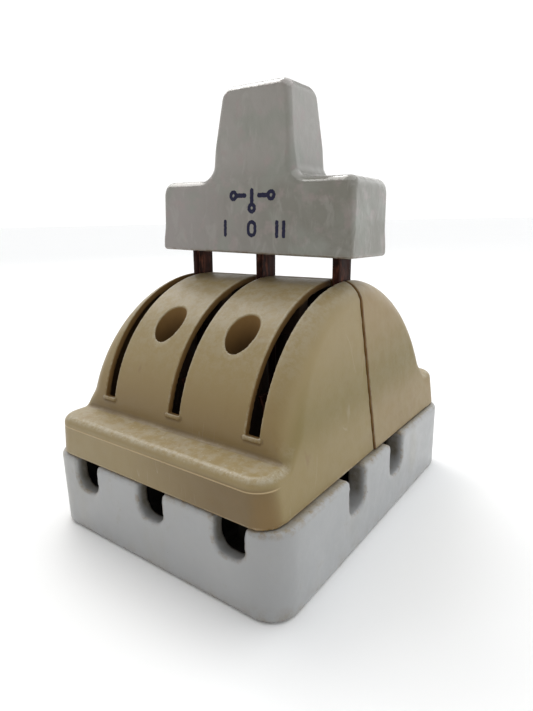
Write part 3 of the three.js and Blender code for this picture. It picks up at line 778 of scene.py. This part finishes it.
def base_porcelain():
    f = Finish("base_porcelain")
    bend = f.attribute("bend")
    inner = f.attribute("inner")
    depth = f.attribute("depth")
    f.mottle(f.noise(38, 3, 0.5), (0.356, 0.36, 0.364), (0.392, 0.395, 0.393))
    f.paint(f.ramp(f.noise(9, 4, 0.6), 0.42, 0.75, 0, 0.3), (0.412, 0.409, 0.4))
    cloud = f.ramp(f.noise(21, 4, 0.6, (1, 1, 1.8)), 0.56, 0.78, 0, 0.4)
    f.paint(cloud, (0.345, 0.325, 0.275))
    ledge = f.ramp(f.z, BASE["height"] - 1.5, BASE["height"] - 0.3)
    f.paint(f.times(ledge, f.ramp(depth, 0.4, 1.4, 0, 0.75)), (0.285, 0.265, 0.215))
    near = f.ramp(f.math("ADD", depth, f.times(f.noise(1.6, 4, 0.8), 2.2)), 2.7, 3.8)
    dirt = f.times(ledge, near, f.ramp(f.noise(6, 4, 0.7), 0.3, 0.6, 0.25, 1))
    f.paint(dirt, (0.155, 0.12, 0.075), 0.75)
    grit = f.times(ledge, f.specks(0.9, 0.27, 0.6), f.ramp(f.noise(14, 2), 0.38, 0.58))
    f.paint(grit, (0.075, 0.045, 0.022), 0.8)
    foot = f.ramp(f.z, 6.0, 0.4)
    corner = f.ramp(f.math("SUBTRACT", f.x, f.y), 88, 103)
    patchy = f.ramp(f.noise(5, 4, 0.7), 0.42, 0.66)
    stain = f.times(f.most(f.times(foot, 0.35), f.times(corner, foot)), patchy)
    f.paint(stain, (0.25, 0.195, 0.115), 0.65)
    # Painted shade: the front right corner of the base greyer and darker.
    f.paint(corner, (0.235, 0.232, 0.225), 0.35)
    blotch = f.times(f.ramp(f.noise(4.5, 4, 0.7, (1, 1, 1.6)), 0.6, 0.74), f.ramp(bend, 0.2, 0.0))
    f.paint(blotch, (0.29, 0.25, 0.17), 0.25)
    rim = f.times(f.ramp(bend, 0.12, 0.7), f.ramp(f.noise(2.6, 4, 0.7), 0.45, 0.65))
    f.paint(f.times(rim, f.ramp(depth, 0.2, 1.2, 0.45, 0.8)), (0.25, 0.185, 0.1))
    rub = f.times(f.ramp(bend, 0.3, 1.0), f.ramp(f.noise(3, 4, 0.7), 0.5, 0.7))
    f.paint(rub, (0.48, 0.475, 0.46), 0.4)
    # Dirt and painted shade: the notch walls and the way into the chambers brown-grey, darker higher
    # up.
    wall = f.times(f.ramp(inner, 0.0, 0.5), f.ramp(f.noise(4, 4, 0.65), 0.25, 0.65, 0.6, 1.0))
    f.paint(wall, (0.15, 0.128, 0.094))
    # Painted shade: near black deep in the chambers.
    dark = f.times(f.ramp(inner, 0.45, 1.0), f.ramp(f.noise(6, 4, 0.6), 0.2, 0.7, 0.88, 1.0))
    f.paint(dark, (0.014, 0.011, 0.007))
    speck = f.most(f.specks(13, 0.36, 0.5), f.times(f.specks(5.2, 0.17, 0.35), 0.7))
    f.paint(speck, (0.045, 0.04, 0.035))
    rust = f.times(f.specks(16, 0.8, 0.3), f.ramp(f.noise(1.3, 3), 0.4, 0.65))
    f.paint(rust, (0.24, 0.15, 0.07), 0.4)
    rough = f.ramp(f.noise(6, 4, 0.6), 0.3, 0.7, 0.34, 0.5)
    rough = f.most(rough, f.times(dirt, 0.75), f.times(dark, 0.8))
    normal = f.bump(f.noise(11, 3, 0.5), 0.45)
    normal = f.bump(f.noise(1.1, 3, 0.6), 0.035, normal)
    normal = f.bump(f.math("SUBTRACT", 0.0, speck), 0.06, normal)
    return f.done(rough, normal, Specular_IOR_Level=0.5, Coat_Weight=0.18, Coat_Roughness=0.22)


def handle_porcelain():
    f = Finish("handle_porcelain")
    bend = f.attribute("bend")
    inner = f.attribute("inner")
    foot = f.attribute("foot")
    # Painted shade: the glaze darkens from the left end to the right, along a wavering line.
    shade_to_right = f.math("ADD", f.x, f.times(f.noise(16, 2), 60))
    f.mottle(f.ramp(shade_to_right, -20, 62), (0.278, 0.252, 0.238), (0.2, 0.193, 0.162))
    f.paint(f.ramp(f.z, 108, 122, 0, 0.8), (0.3, 0.282, 0.258))
    green = f.ramp(f.noise(11, 2, 0.5), 0.45, 0.66, 0, 0.65)
    f.paint(green, (0.24, 0.248, 0.212))
    pink = f.ramp(f.noise(5, 3, 0.55), 0.52, 0.7, 0, 0.55)
    f.paint(pink, (0.3, 0.244, 0.232))
    runs = f.ramp(f.noise(4.5, 3, 0.6, (1, 1, 2.2), 0.9), 0.52, 0.7, 0, 0.45)
    f.paint(runs, (0.318, 0.306, 0.278))
    edge = f.ramp(bend, 0.25, 1.2)
    f.paint(edge, (0.33, 0.315, 0.29), 0.15)
    scorch = f.times(f.most(foot, f.times(edge, 0.25)), f.ramp(f.noise(4, 4, 0.7), 0.35, 0.62))
    f.paint(scorch, (0.13, 0.078, 0.038), 0.85)
    speck = f.most(f.specks(9, 0.3, 0.45), f.times(f.specks(3.6, 0.14, 0.4), 0.65))
    f.paint(speck, (0.055, 0.042, 0.03))
    rust = f.times(f.specks(17, 0.5, 0.45), f.ramp(f.noise(0.8, 2), 0.35, 0.6))
    f.paint(rust, (0.2, 0.065, 0.035), 0.55)
    # Painted shade: the walls of the blade pockets darkened.
    f.paint(inner, (0.1, 0.08, 0.06), 0.85)
    rough = f.ramp(f.noise(5, 4, 0.6), 0.35, 0.75, 0.07, 0.15)
    rough = f.most(rough, f.times(foot, 0.6), f.times(inner, 0.7))
    normal = f.bump(f.noise(13, 2, 0.5, twist=0.3), 0.6)
    ripple = f.times(f.noise(2.2, 2, 0.5, (1, 1, 1.4)), f.ramp(bend, -0.1, 0.7, 0.35, 1.0))
    normal = f.bump(ripple, 0.26, normal)
    normal = f.bump(f.math("SUBTRACT", 0.0, speck), 0.05, normal)
    return f.done(rough, normal, Specular_IOR_Level=0.4, Coat_Weight=0.4, Coat_Roughness=0.05)


def cover_moulding():
    f = Finish("cover_moulding")
    bend = f.attribute("bend")
    inner = f.attribute("inner")
    far_x = f.size_of(f.x)
    far_y = f.size_of(f.y)
    f.mottle(f.noise(30, 3, 0.55, twist=0.3), (0.262, 0.195, 0.086), (0.312, 0.234, 0.106))
    f.paint(f.ramp(f.y, 0.0, 0.4, 0, 0.5), (0.296, 0.2, 0.098))
    streak = f.ramp(f.noise(9, 4, 0.6, (1, 1, 2.6)), 0.45, 0.8, 0, 0.5)
    f.paint(streak, (0.302, 0.236, 0.115))
    # Painted shade: the lower front and back of the dome, above the flange, darker brown.
    flank = f.times(f.ramp(f.z, 66, 42), f.ramp(far_y, 28, 47))
    face = f.times(flank, f.ramp(far_x, 41, 34), f.ramp(f.z, 39.0, 41.5))
    f.paint(face, (0.226, 0.148, 0.052), 0.75)
    # Painted shade, with some of their yellower tone: the side walls darker, most of all higher up.
    side = f.times(f.ramp(far_x, 39, 42.5), f.ramp(f.z, 36, 50, 0.25, 1.0))
    f.paint(side, (0.172, 0.128, 0.028), 0.85)
    # Painted shade: the front face of the flange, below its top edge, darker towards its right end.
    front = f.times(f.ramp(f.y, -52, -57), f.ramp(f.z, 38, 36), f.ramp(f.x, -15, 34))
    f.paint(front, (0.13, 0.078, 0.026), 0.75)
    brown = f.times(f.ramp(f.noise(13, 4, 0.65), 0.55, 0.75), f.ramp(f.z, 80, 36, 0.25, 1.0))
    f.paint(brown, (0.215, 0.132, 0.046), 0.42)
    corner = f.math("ADD", far_x, far_y)
    corner = f.math("ADD", corner, f.times(f.noise(5, 4, 0.7), 3))
    rounded = f.times(f.ramp(corner, 97.5, 101.5), f.ramp(f.z, 38, 34))
    f.paint(rounded, (0.205, 0.122, 0.034), 0.7)
    smear = f.times(f.ramp(f.noise(6.5, 3, 0.5, (1, 1, 2.2)), 0.66, 0.78), 0.35)
    f.paint(smear, (0.185, 0.095, 0.042))
    geometry = f.add("ShaderNodeNewGeometry").outputs["Normal"]
    up = f.ramp(f.add("ShaderNodeSeparateXYZ", geometry).outputs["Z"], 0.3, 0.95)
    # Dust, and a painted sheen: upward faces paler and whiter in grainy patches.
    dust_and_sheen = f.times(up, f.ramp(f.noise(3.0, 6, 0.8), 0.4, 0.62))
    f.paint(dust_and_sheen, (0.39, 0.345, 0.262), 0.55)
    sand = f.times(up, f.specks(1.1, 0.34, 0.5), f.ramp(f.z, 42, 40))
    f.paint(sand, (0.48, 0.42, 0.31), 0.45)
    # Chalky marks and a painted highlight: paler grains along the rounded edges that face upward.
    chalk_and_highlight = f.times(f.ramp(bend, 0.06, 0.3), up, f.ramp(f.noise(1.2, 5, 0.8), 0.4, 0.6))
    f.paint(chalk_and_highlight, (0.46, 0.42, 0.33), 0.45)
    scuff = f.most(f.scratches(15, (0.25, 1, 4), 0.006, 0.0), f.times(f.specks(6, 0.26, 0.35), 0.7))
    f.paint(scuff, (0.42, 0.37, 0.28), 0.32)
    worn = f.times(f.ramp(bend, 0.25, 0.9), f.ramp(f.noise(2.6, 5, 0.75), 0.42, 0.66))
    f.paint(worn, (0.41, 0.355, 0.255), 0.5)
    # Painted shade: inner corners and creases darker brown.
    crease_shade = f.times(f.ramp(bend, -0.06, -0.5), f.ramp(f.noise(6, 4, 0.6), 0.2, 0.6, 0.4, 1))
    f.paint(crease_shade, (0.135, 0.083, 0.038), 0.5)
    hem = f.times(f.ramp(f.z, 27.3, 26.8), f.ramp(f.noise(3.4, 4, 0.7), 0.4, 0.6))
    f.paint(hem, (0.33, 0.215, 0.1), 0.5)
    ages = f.ramp(f.noise(5, 4, 0.6), 0.2, 0.55, 0.55, 1)
    seam = f.times(f.ramp(far_y, 0.75, 0.3), ages)
    f.paint(seam, (0.115, 0.042, 0.005), 0.9)
    # Painted shade: the walls of the slots and wells brown, and deeper inside near black.
    f.paint(f.ramp(inner, 0.05, 0.4, 0, 0.95), (0.175, 0.09, 0.02))
    f.paint(f.ramp(inner, 0.5, 1.0, 0, 0.97), (0.022, 0.009, 0.003))
    rough = f.ramp(f.noise(4, 5, 0.65), 0.3, 0.75, 0.36, 0.52)
    rough = f.most(rough, f.times(dust_and_sheen, 0.6), f.ramp(inner, 0.05, 0.4, 0, 0.8))
    flat = f.times(f.ramp(far_y, 52, 55), f.ramp(inner, 0.2, 0.0))
    line = f.times(f.ramp(f.size_of(f.math("SUBTRACT", f.z, 36.4)), 0.35, 0.05), flat)
    f.paint(line, (0.5, 0.37, 0.2), 0.9)
    normal = f.bump(f.noise(24, 2, 0.5), 0.5)
    normal = f.bump(f.noise(0.75, 3, 0.65), 0.03, normal)
    normal = f.bump(line, 0.15, normal)
    normal = f.bump(scuff, 0.012, normal)
    return f.done(rough, normal, Specular_IOR_Level=0.42)


def contact_copper():
    f = Finish("contact_copper")
    bend = f.attribute("bend")
    f.mottle(f.noise(6, 4, 0.6, (1, 1, 3)), (0.011, 0.0032, 0.0024), (0.04, 0.0115, 0.007))
    middle = f.ramp(f.size_of(f.math("SUBTRACT", f.y, -1.2)), 3.2, 0.6)
    bare = f.times(f.ramp(f.noise(2.2, 5, 0.7, (1, 1, 4)), 0.46, 0.64), f.most(middle, 0.3))
    f.paint(bare, (0.175, 0.058, 0.03), 0.85)
    soot = f.ramp(f.noise(4.5, 4, 0.65), 0.5, 0.72, 0, 0.8)
    f.paint(soot, (0.006, 0.003, 0.0025))
    green = f.times(f.specks(7, 0.8, 0.3), f.ramp(f.noise(0.9, 3), 0.45, 0.62))
    f.paint(green, (0.03, 0.04, 0.03), 0.3)
    edge = f.times(f.ramp(bend, 0.5, 2.0), f.ramp(f.noise(1.8, 3), 0.5, 0.65))
    f.paint(edge, (0.12, 0.045, 0.025), 0.4)
    rough = f.ramp(f.noise(1.7, 4, 0.65, (1, 1, 3)), 0.3, 0.75, 0.5, 0.72)
    normal = f.bump(f.noise(0.5, 3, 0.6, (1, 1, 22)), 0.02)
    normal = f.bump(f.noise(0.8, 3, 0.6), 0.02, normal)
    return f.done(rough, normal, Metallic=0.6, Specular_IOR_Level=0.15)


def dull_metal(name, dark, light, rust):
    f = Finish(name)
    bend = f.attribute("bend")
    f.mottle(f.noise(1.8, 4, 0.6), dark, light)
    spots = f.ramp(f.noise(1.1, 4, 0.7), 0.56, 0.7)
    f.paint(spots, rust, 0.6)
    edge = f.times(f.ramp(bend, 0.6, 2.2), f.ramp(f.noise(0.9, 3), 0.4, 0.6))
    f.paint(f.times(edge, 0.5), tuple(min(1.0, 1.35 * c) for c in light))
    # Painted shade: the hollows of the screws and nuts darker.
    f.paint(f.ramp(bend, -0.5, -2.5, 0, 0.75), tuple(0.2 * c for c in dark))
    rough = f.ramp(f.noise(0.9, 4, 0.6), 0.3, 0.7, 0.3, 0.52)
    rough = f.most(rough, f.times(spots, 0.75))
    normal = f.bump(f.noise(0.45, 3, 0.6), 0.015)
    return f.done(rough, normal, Metallic=0.9)


def rough_cement():
    f = Finish("cement")
    f.mottle(f.noise(2.4, 4, 0.6), (0.2, 0.18, 0.15), (0.3, 0.275, 0.235))
    f.paint(f.specks(0.9, 0.22, 0.5), (0.12, 0.1, 0.085), 0.7)
    rough = f.ramp(f.noise(1.2, 3, 0.6), 0.3, 0.7, 0.75, 0.95)
    normal = f.bump(f.noise(0.7, 4, 0.7), 0.12)
    return f.done(rough, normal)


def navy_ink():
    f = Finish("printed_ink")
    f.mottle(f.noise(1.6, 4, 0.65), (0.006, 0.006, 0.024), (0.016, 0.016, 0.05))
    thin = f.ramp(f.noise(0.7, 3, 0.6), 0.62, 0.74)
    f.paint(thin, (0.13, 0.125, 0.14), 0.5)
    rough = f.ramp(f.noise(0.9, 3, 0.6), 0.3, 0.7, 0.45, 0.6)
    normal = f.bump(f.noise(0.5, 3, 0.6), 0.01)
    return f.done(rough, normal, Specular_IOR_Level=0.2)


def pale_floor():
    f = Finish("floor")
    f.mottle(f.noise(400, 3, 0.5), (0.94, 0.94, 0.94), (0.96, 0.96, 0.96))
    return f.done(f.ramp(f.noise(60, 3, 0.5), 0.3, 0.7, 0.85, 0.95))


BRASS = ((0.4, 0.27, 0.11), (0.58, 0.43, 0.2), (0.2, 0.12, 0.05))
STEEL = ((0.28, 0.28, 0.27), (0.5, 0.49, 0.47), (0.16, 0.09, 0.05))
FINISHES = {
    "base_porcelain": base_porcelain(),
    "handle_porcelain": handle_porcelain(),
    "cover_moulding": cover_moulding(),
    "contact_copper": contact_copper(),
    "terminal_brass": dull_metal("terminal_brass", *BRASS),
    "screw_steel": dull_metal("screw_steel", *STEEL),
    "cement": rough_cement(),
    "ink": navy_ink(),
}


# ---------- assembly


def unmoved(points):
    return points


def build_mesh(name, field, low, high, step, fine=((), (), ()), place=unmoved, reach=0.8, **extra):
    """Meshes one field. The extra attributes are functions of the place before it is moved."""
    points, quads = surface_net(field, low, high, step, fine)
    values = {"bend": bend_of(field, points, reach)}
    for key, function in extra.items():
        values[key] = function(*points.T)
    return mesh_object(name, place(points), quads, values)


def build_small(name, field, low, high, step, place=unmoved):
    return build_mesh(f"{name}_visual", field, low, high, step, place=place, reach=0.4)


def settle_in(obj, body, slot, *nodes, finish=None):
    """Gives a piece its finish, named by the slot unless another is given, hangs it on its body and
    hides the CAD nodes that it stands for.
    """
    obj.data.materials.clear()
    obj.data.materials.append(FINISHES[finish or slot])
    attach(obj, body)
    if nodes:
        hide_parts(*nodes)
    return obj


def base_depth(x, y, z):
    """How far in from the base's outer wall, in millimetres."""
    return -rectangle(x, y, *BASE["half"], BASE["corner"])


def base_inner(x, y, z):
    """1 in the chambers, a half on the walls of the notches and 0 on the outside and the ledge."""
    sheltered = ease(BASE["height"] - z, 0.2, 2.0) * ease(z, 2, 9)
    room = rectangle(x, y, *CHAMBER["half"], CHAMBER["corner"])
    wall = ease(base_depth(x, y, z), 0.3, 3.2) * (0.3 + 0.7 * ease(z, 14, 19.5))
    return sheltered * np.maximum(wall / 2, ease(-room, -1.2, 0.4))


def cover_inner(x, y, z, offset):
    """About a half on the walls of the slots and wells, 1 deep inside and 0 on the outside."""
    depth = -cover_skin(shell_x(x, y, offset), y, z)
    well = from_wells(x, y) < WELL["bore"] + 0.6
    rest = np.where(well, 0.35 * ease(depth, 0, 14), 0.5 * ease(depth, 1.7, 2.6))
    return 0.5 * ease(depth, -0.05, 0.6) + rest


def handle_inner(x, y, z):
    """1 on the walls of the pockets for the blades."""
    near = ease(-handle_pockets(x, y, z), -0.4, 0.2)
    return near * ease(z, BAR["bottom"], BAR["bottom"] + 1.5)


def handle_foot(x, y, z):
    """1 on the unglazed foot of the crossbar."""
    return ease(-z, -BAR["bottom"] - 1.0, -BAR["bottom"] - 0.3)


def turned(points):
    return points * (-1, -1, 1)


STEP = dict(large=0.82, handle=0.5, marks=0.22, contact=0.42, cement=0.4, screw=0.3)

BASE_LIMITS = ((-BASE["half"][0], -BASE["half"][1], 0), (*BASE["half"], BASE["height"]))
base = build_mesh(
    "base_visual", base_field, *BASE_LIMITS, STEP["large"], inner=base_inner, depth=base_depth
)
settle_in(base, "base", "base_porcelain", "porcelain_base")

slot_walls = [
    (pole * POLE_PITCH + side * SLOT["half"], 0.6, 0.3) for pole in POLES.values() for side in (-1, 1)
]
COVER_FINE = (
    slot_walls + [(x, 6.2, 0.45) for x in WELL_X],
    [(-COVER["split"], 0.6, 0.3), (WELL["y"], 6.5, 0.45), (-37.2, 1.0, 0.3), (-46.6, 1.2, 0.4)],
    [(COVER["bottom"], 0.5, 0.35), (44.3, 1.2, 0.35), (66.0, 8.0, 0.5)],
)
COVER_LIMITS = (
    (-COVER["half"][0] - REAR_OFFSET, -COVER["half"][1], COVER["bottom"]),
    (COVER["half"][0], 0, PIVOT_Z + DOME["radius"]),
)
for end, place, offset in (("front", unmoved, 0.0), ("rear", turned, -REAR_OFFSET)):
    cover = build_mesh(
        f"cover_{end}_visual", lambda x, y, z: cover_field(x, y, z, offset), *COVER_LIMITS,
        STEP["large"], COVER_FINE, place, inner=lambda x, y, z: cover_inner(x, y, z, offset),
    )
    settle_in(cover, "base", "cover_moulding", f"cover_{end}")

HANDLE_LIMITS = ((-BAR["half"][0], -BAR["half"][1], BAR["bottom"]), (*BAR["half"], STEM["top"]))
handle = build_mesh(
    "handle_visual", handle_field, *HANDLE_LIMITS, STEP["handle"], place=set_crooked,
    inner=handle_inner, foot=handle_foot,
)
settle_in(handle, "handle", "handle_porcelain", "handle")
marks = build_mesh(
    "printed_marks_visual", marks_field, *MARKS_LIMITS, STEP["marks"], place=press_marks
)
settle_in(marks, "handle", "handle_porcelain", finish="ink")


def stand(obj, x, y, z, turn, tip):
    """Puts a small piece in its place: tipped about X or Y, then turned about its own axis."""
    obj.location = (x * MM, y * MM, z * MM)
    matrix = Euler((*tip, 0)).to_matrix() @ Euler((0, 0, turn)).to_matrix()
    obj.rotation_euler = matrix.to_euler()
    return obj


# A screw or nut of each kind about its own axis, of which the fitted ones are copies.
PATTERNS = {}
for name, sizes in SCREWS.items():
    low = (-sizes["head"], -sizes["head"], -sizes["deep"])
    high = (sizes["head"], sizes["head"], sizes["head_height"])
    PATTERNS[name] = build_small(name, screw_field(**sizes), low, high, STEP["screw"])
for name, sizes in NUTS.items():
    around = 0.6 * sizes["across_flats"]
    limits = ((-around, -around, 0), (around, around, sizes["height"]))
    PATTERNS[name] = build_small(name, nut_field(**sizes), *limits, STEP["screw"])
turns = np.random.default_rng(7)


def fasten(pattern, node, slot, x, y, z, tip=(0.0, 0.0), turn=None):
    """Fits a screw or nut, its slot turned at random unless the turn is given."""
    angle = turns.uniform(0, math.pi) if turn is None else turn
    obj = new_object(f"{node}_visual", PATTERNS[pattern].data)
    settle_in(stand(obj, x, y, z, angle, tip), "base", slot, node)


COVER_SCREW_SEAT = 29.7
COVER_NUT_SEAT = 5.0
CLIP_SCREW_SEAT = 7.7
TERMINAL_SCREW_SEAT = 23.6
PIVOT_SEAT = 3.3
CLIP_HALF = 4.6
UPSIDE_DOWN = (math.pi, 0.0)


def hold_clip(node, x, y):
    """A screw from beneath that holds a contact on the base."""
    fasten("clip_screw", node, "screw_steel", x, y, CLIP_SCREW_SEAT, UPSIDE_DOWN)


def hold_wire(node, x, y):
    """A screw that clamps a wire on a contact."""
    fasten("terminal_screw", node, "terminal_brass", x, y, TERMINAL_SCREW_SEAT)


for end, side in (("front", 1), ("rear", -1)):
    for index, well_x in enumerate(WELL_X, 1):
        x = well_x * side
        y = WELL["y"] * side
        label = f"{end}_{index}"
        fasten("cover_screw", f"cover_screw_{label}", "screw_steel", x, y, COVER_SCREW_SEAT)
        fasten("cover_nut", f"cover_nut_{label}", "screw_steel", x, y, COVER_NUT_SEAT, turn=0.0)

for end, side in (("front", 1), ("rear", -1)):
    for pole_name, pole in POLES.items():
        x = pole_x(pole)
        label = f"{end}_{pole_name}"
        jaw = build_small(
            f"jaw_{label}", jaw_field, (-CLIP_HALF, JAW_PLATE["outer"], PLATE["bottom"]),
            (CLIP_HALF, JAW_PLATE["inner"], JAW["top"]), STEP["contact"],
            lambda p: p * (1, side, 1) + (x, 0, 0),
        )
        if side < 0:
            jaw.data.flip_normals()
        settle_in(jaw, "base", "contact_copper", f"jaw_{label}")
        hold_clip(f"jaw_screw_{label}", x, JAW["y"] * side)
        hold_wire(f"terminal_screw_{label}", x, JAW_PLATE["terminal"] * side)

for pole_name, pole in POLES.items():
    x = pole_x(pole)
    side = hinge_side(pole)
    low_y, high_y = hinge_ends(side)
    clip = build_small(
        f"hinge_clip_{pole_name}", hinge_clip_field(side),
        (-CLIP_HALF, low_y, PLATE["bottom"]), (CLIP_HALF, high_y, PIVOT_Z + HINGE["half"]),
        STEP["contact"], lambda p: p + (x, 0, 0),
    )
    settle_in(clip, "base", "contact_copper", f"hinge_clip_{pole_name}")
    hold_clip(f"hinge_screw_{pole_name}", x, 0)
    hold_wire(f"common_screw_{pole_name}", x, HINGE["terminal"] * side)
    steel = (f"pivot_bolt_{pole_name}", "screw_steel", x - PIVOT_SEAT, 0, PIVOT_Z)
    fasten("pivot_bolt", *steel, (0.0, -math.pi / 2))
    steel = (f"pivot_nut_{pole_name}", "screw_steel", x + PIVOT_SEAT, 0, PIVOT_Z)
    fasten("pivot_nut", *steel, (0.0, math.pi / 2), 0.0)
    blade = build_small(
        f"blade_{pole_name}", blade_field,
        (-BLADE["half"][0], -BLADE["eye"], PIVOT_Z - BLADE["eye"]),
        (BLADE["half"][0], BLADE["eye"], BLADE["top"]),
        STEP["contact"], lambda p: lean_back(p + (x, 0, 0)),
    )
    settle_in(blade, "handle", "contact_copper", f"blade_{pole_name}")
    cement = build_small(
        f"blade_cement_{pole_name}", cement_field,
        (-POCKET["half"][0], -POCKET["half"][1], BAR["bottom"]),
        (*POCKET["half"], BAR["bottom"] + POCKET["depth"]),
        STEP["cement"], lambda p: set_crooked(p + (pole * POLE_PITCH, 0, 0)),
    )
    settle_in(cement, "handle", "cement", f"blade_cement_{pole_name}")

for pattern in PATTERNS.values():
    bpy.data.objects.remove(pattern)


# ---------- floor, lights and camera


FLOOR_HALF = 30.0
FLOOR_DROP = 0.0002
plane = bpy.data.meshes.new("floor")
plane.from_pydata(
    [(FLOOR_HALF * x, FLOOR_HALF * y, 0) for x, y in ((-1, -1), (1, -1), (1, 1), (-1, 1))],
    [], [(0, 1, 2, 3)],
)
plane.materials.append(pale_floor())
floor = new_object("floor", plane)
floor.location.z = -FLOOR_DROP


def lamp(name, kind, direction, energy, **settings):
    """A light a metre from the middle of the object, which it faces."""
    light = bpy.data.lights.new(name, kind)
    light.energy = energy
    for key, value in settings.items():
        setattr(light, key, value)
    towards = Vector(direction).normalized()
    obj = new_object(name, light)
    obj.location = (Vector(cad_box[0]) + Vector(cad_box[1])) / 2 + towards
    obj.rotation_euler = towards.to_track_quat("Z", "Y").to_euler()


TOP_LIGHT = dict(shape="RECTANGLE", size=0.62, size_y=0.62, color=(1.0, 0.985, 0.95))
lamp("top_light", "AREA", (-0.62, 0.2, 0.78), 3.0, **TOP_LIGHT)
lamp("glint_light", "AREA", (-0.5, 0.36, 0.8), 0.8, shape="RECTANGLE", size=0.42, size_y=0.05)
lamp("sky_light", "SUN", (-0.15, 0.3, 1.0), 1.3, angle=math.radians(75))


# Each area of the studio: its direction, the cosines where it starts and is full, the height
# above which it ends, and its colour. The first is the even light of the room.
UP = (0.0, 0.0, 1.0)
STUDIO_AREAS = (
    (UP, -2.0, -1.5, 2.0, (0.35, 0.345, 0.34)),
    ((-0.594, 0.804, 0.0), 0.45, 0.78, 0.37, (0.78, 0.78, 0.78)),
    ((0.9, 0.3, 0.32), 0.1, 0.95, 2.0, (0.54, 0.58, 0.61)),
    ((0.47, 0.83, 0.28), 0.8, 0.98, 2.0, (0.45, 0.45, 0.45)),
    ((-0.9, -0.42, 0.12), 0.72, 0.98, 2.0, (0.6, 0.6, 0.6)),
)
CEILING_FADE = 0.14


def studio_world():
    """A dim room, white behind the object, with broad bright areas on its right and left."""
    world = bpy.data.worlds.new("studio")
    room = Nodes(world)
    direction = room.add("ShaderNodeTexCoord").outputs["Generated"]

    def facing(towards, low, high):
        aim = room.add("ShaderNodeVectorMath", direction, towards, operation="DOT_PRODUCT")
        return room.ramp(aim.outputs["Value"], low, high)

    total = (0.0, 0.0, 0.0)
    for towards, low, high, ceiling, colour in STUDIO_AREAS:
        below = facing(UP, ceiling + CEILING_FADE, ceiling)
        glow = room.add("ShaderNodeVectorMath", colour, operation="SCALE")
        room.set(glow, Scale=room.times(facing(towards, low, high), below))
        total = room.add("ShaderNodeVectorMath", total, glow.outputs["Vector"]).outputs["Vector"]
    room.set(room.tree.nodes["Background"], Color=total)
    return world


bpy.context.scene.world = studio_world()

LENS = 25.824
VIEW_FROM = (0.1085, -0.14561, 0.10041)
YAW = math.radians(36.42)
PITCH = math.radians(14.82)
ROLL = math.radians(-1.22)
level = Vector((math.cos(YAW), math.sin(YAW), 0))
ahead = Vector((-level.y, level.x, 0)) * math.cos(PITCH) - Vector((0, 0, math.sin(PITCH)))
upright = level.cross(ahead)
right = math.cos(ROLL) * level + math.sin(ROLL) * upright
above = math.cos(ROLL) * upright - math.sin(ROLL) * level
lens = bpy.data.cameras.new("camera")
lens.lens = LENS
lens.clip_start = 0.005
camera = new_object("camera", lens)
turn = Matrix((right, above, -ahead)).transposed()
camera.matrix_world = Matrix.Translation(VIEW_FROM) @ turn.to_4x4()
bpy.context.scene.camera = camera
bpy.context.scene.view_settings.view_transform = "Standard"
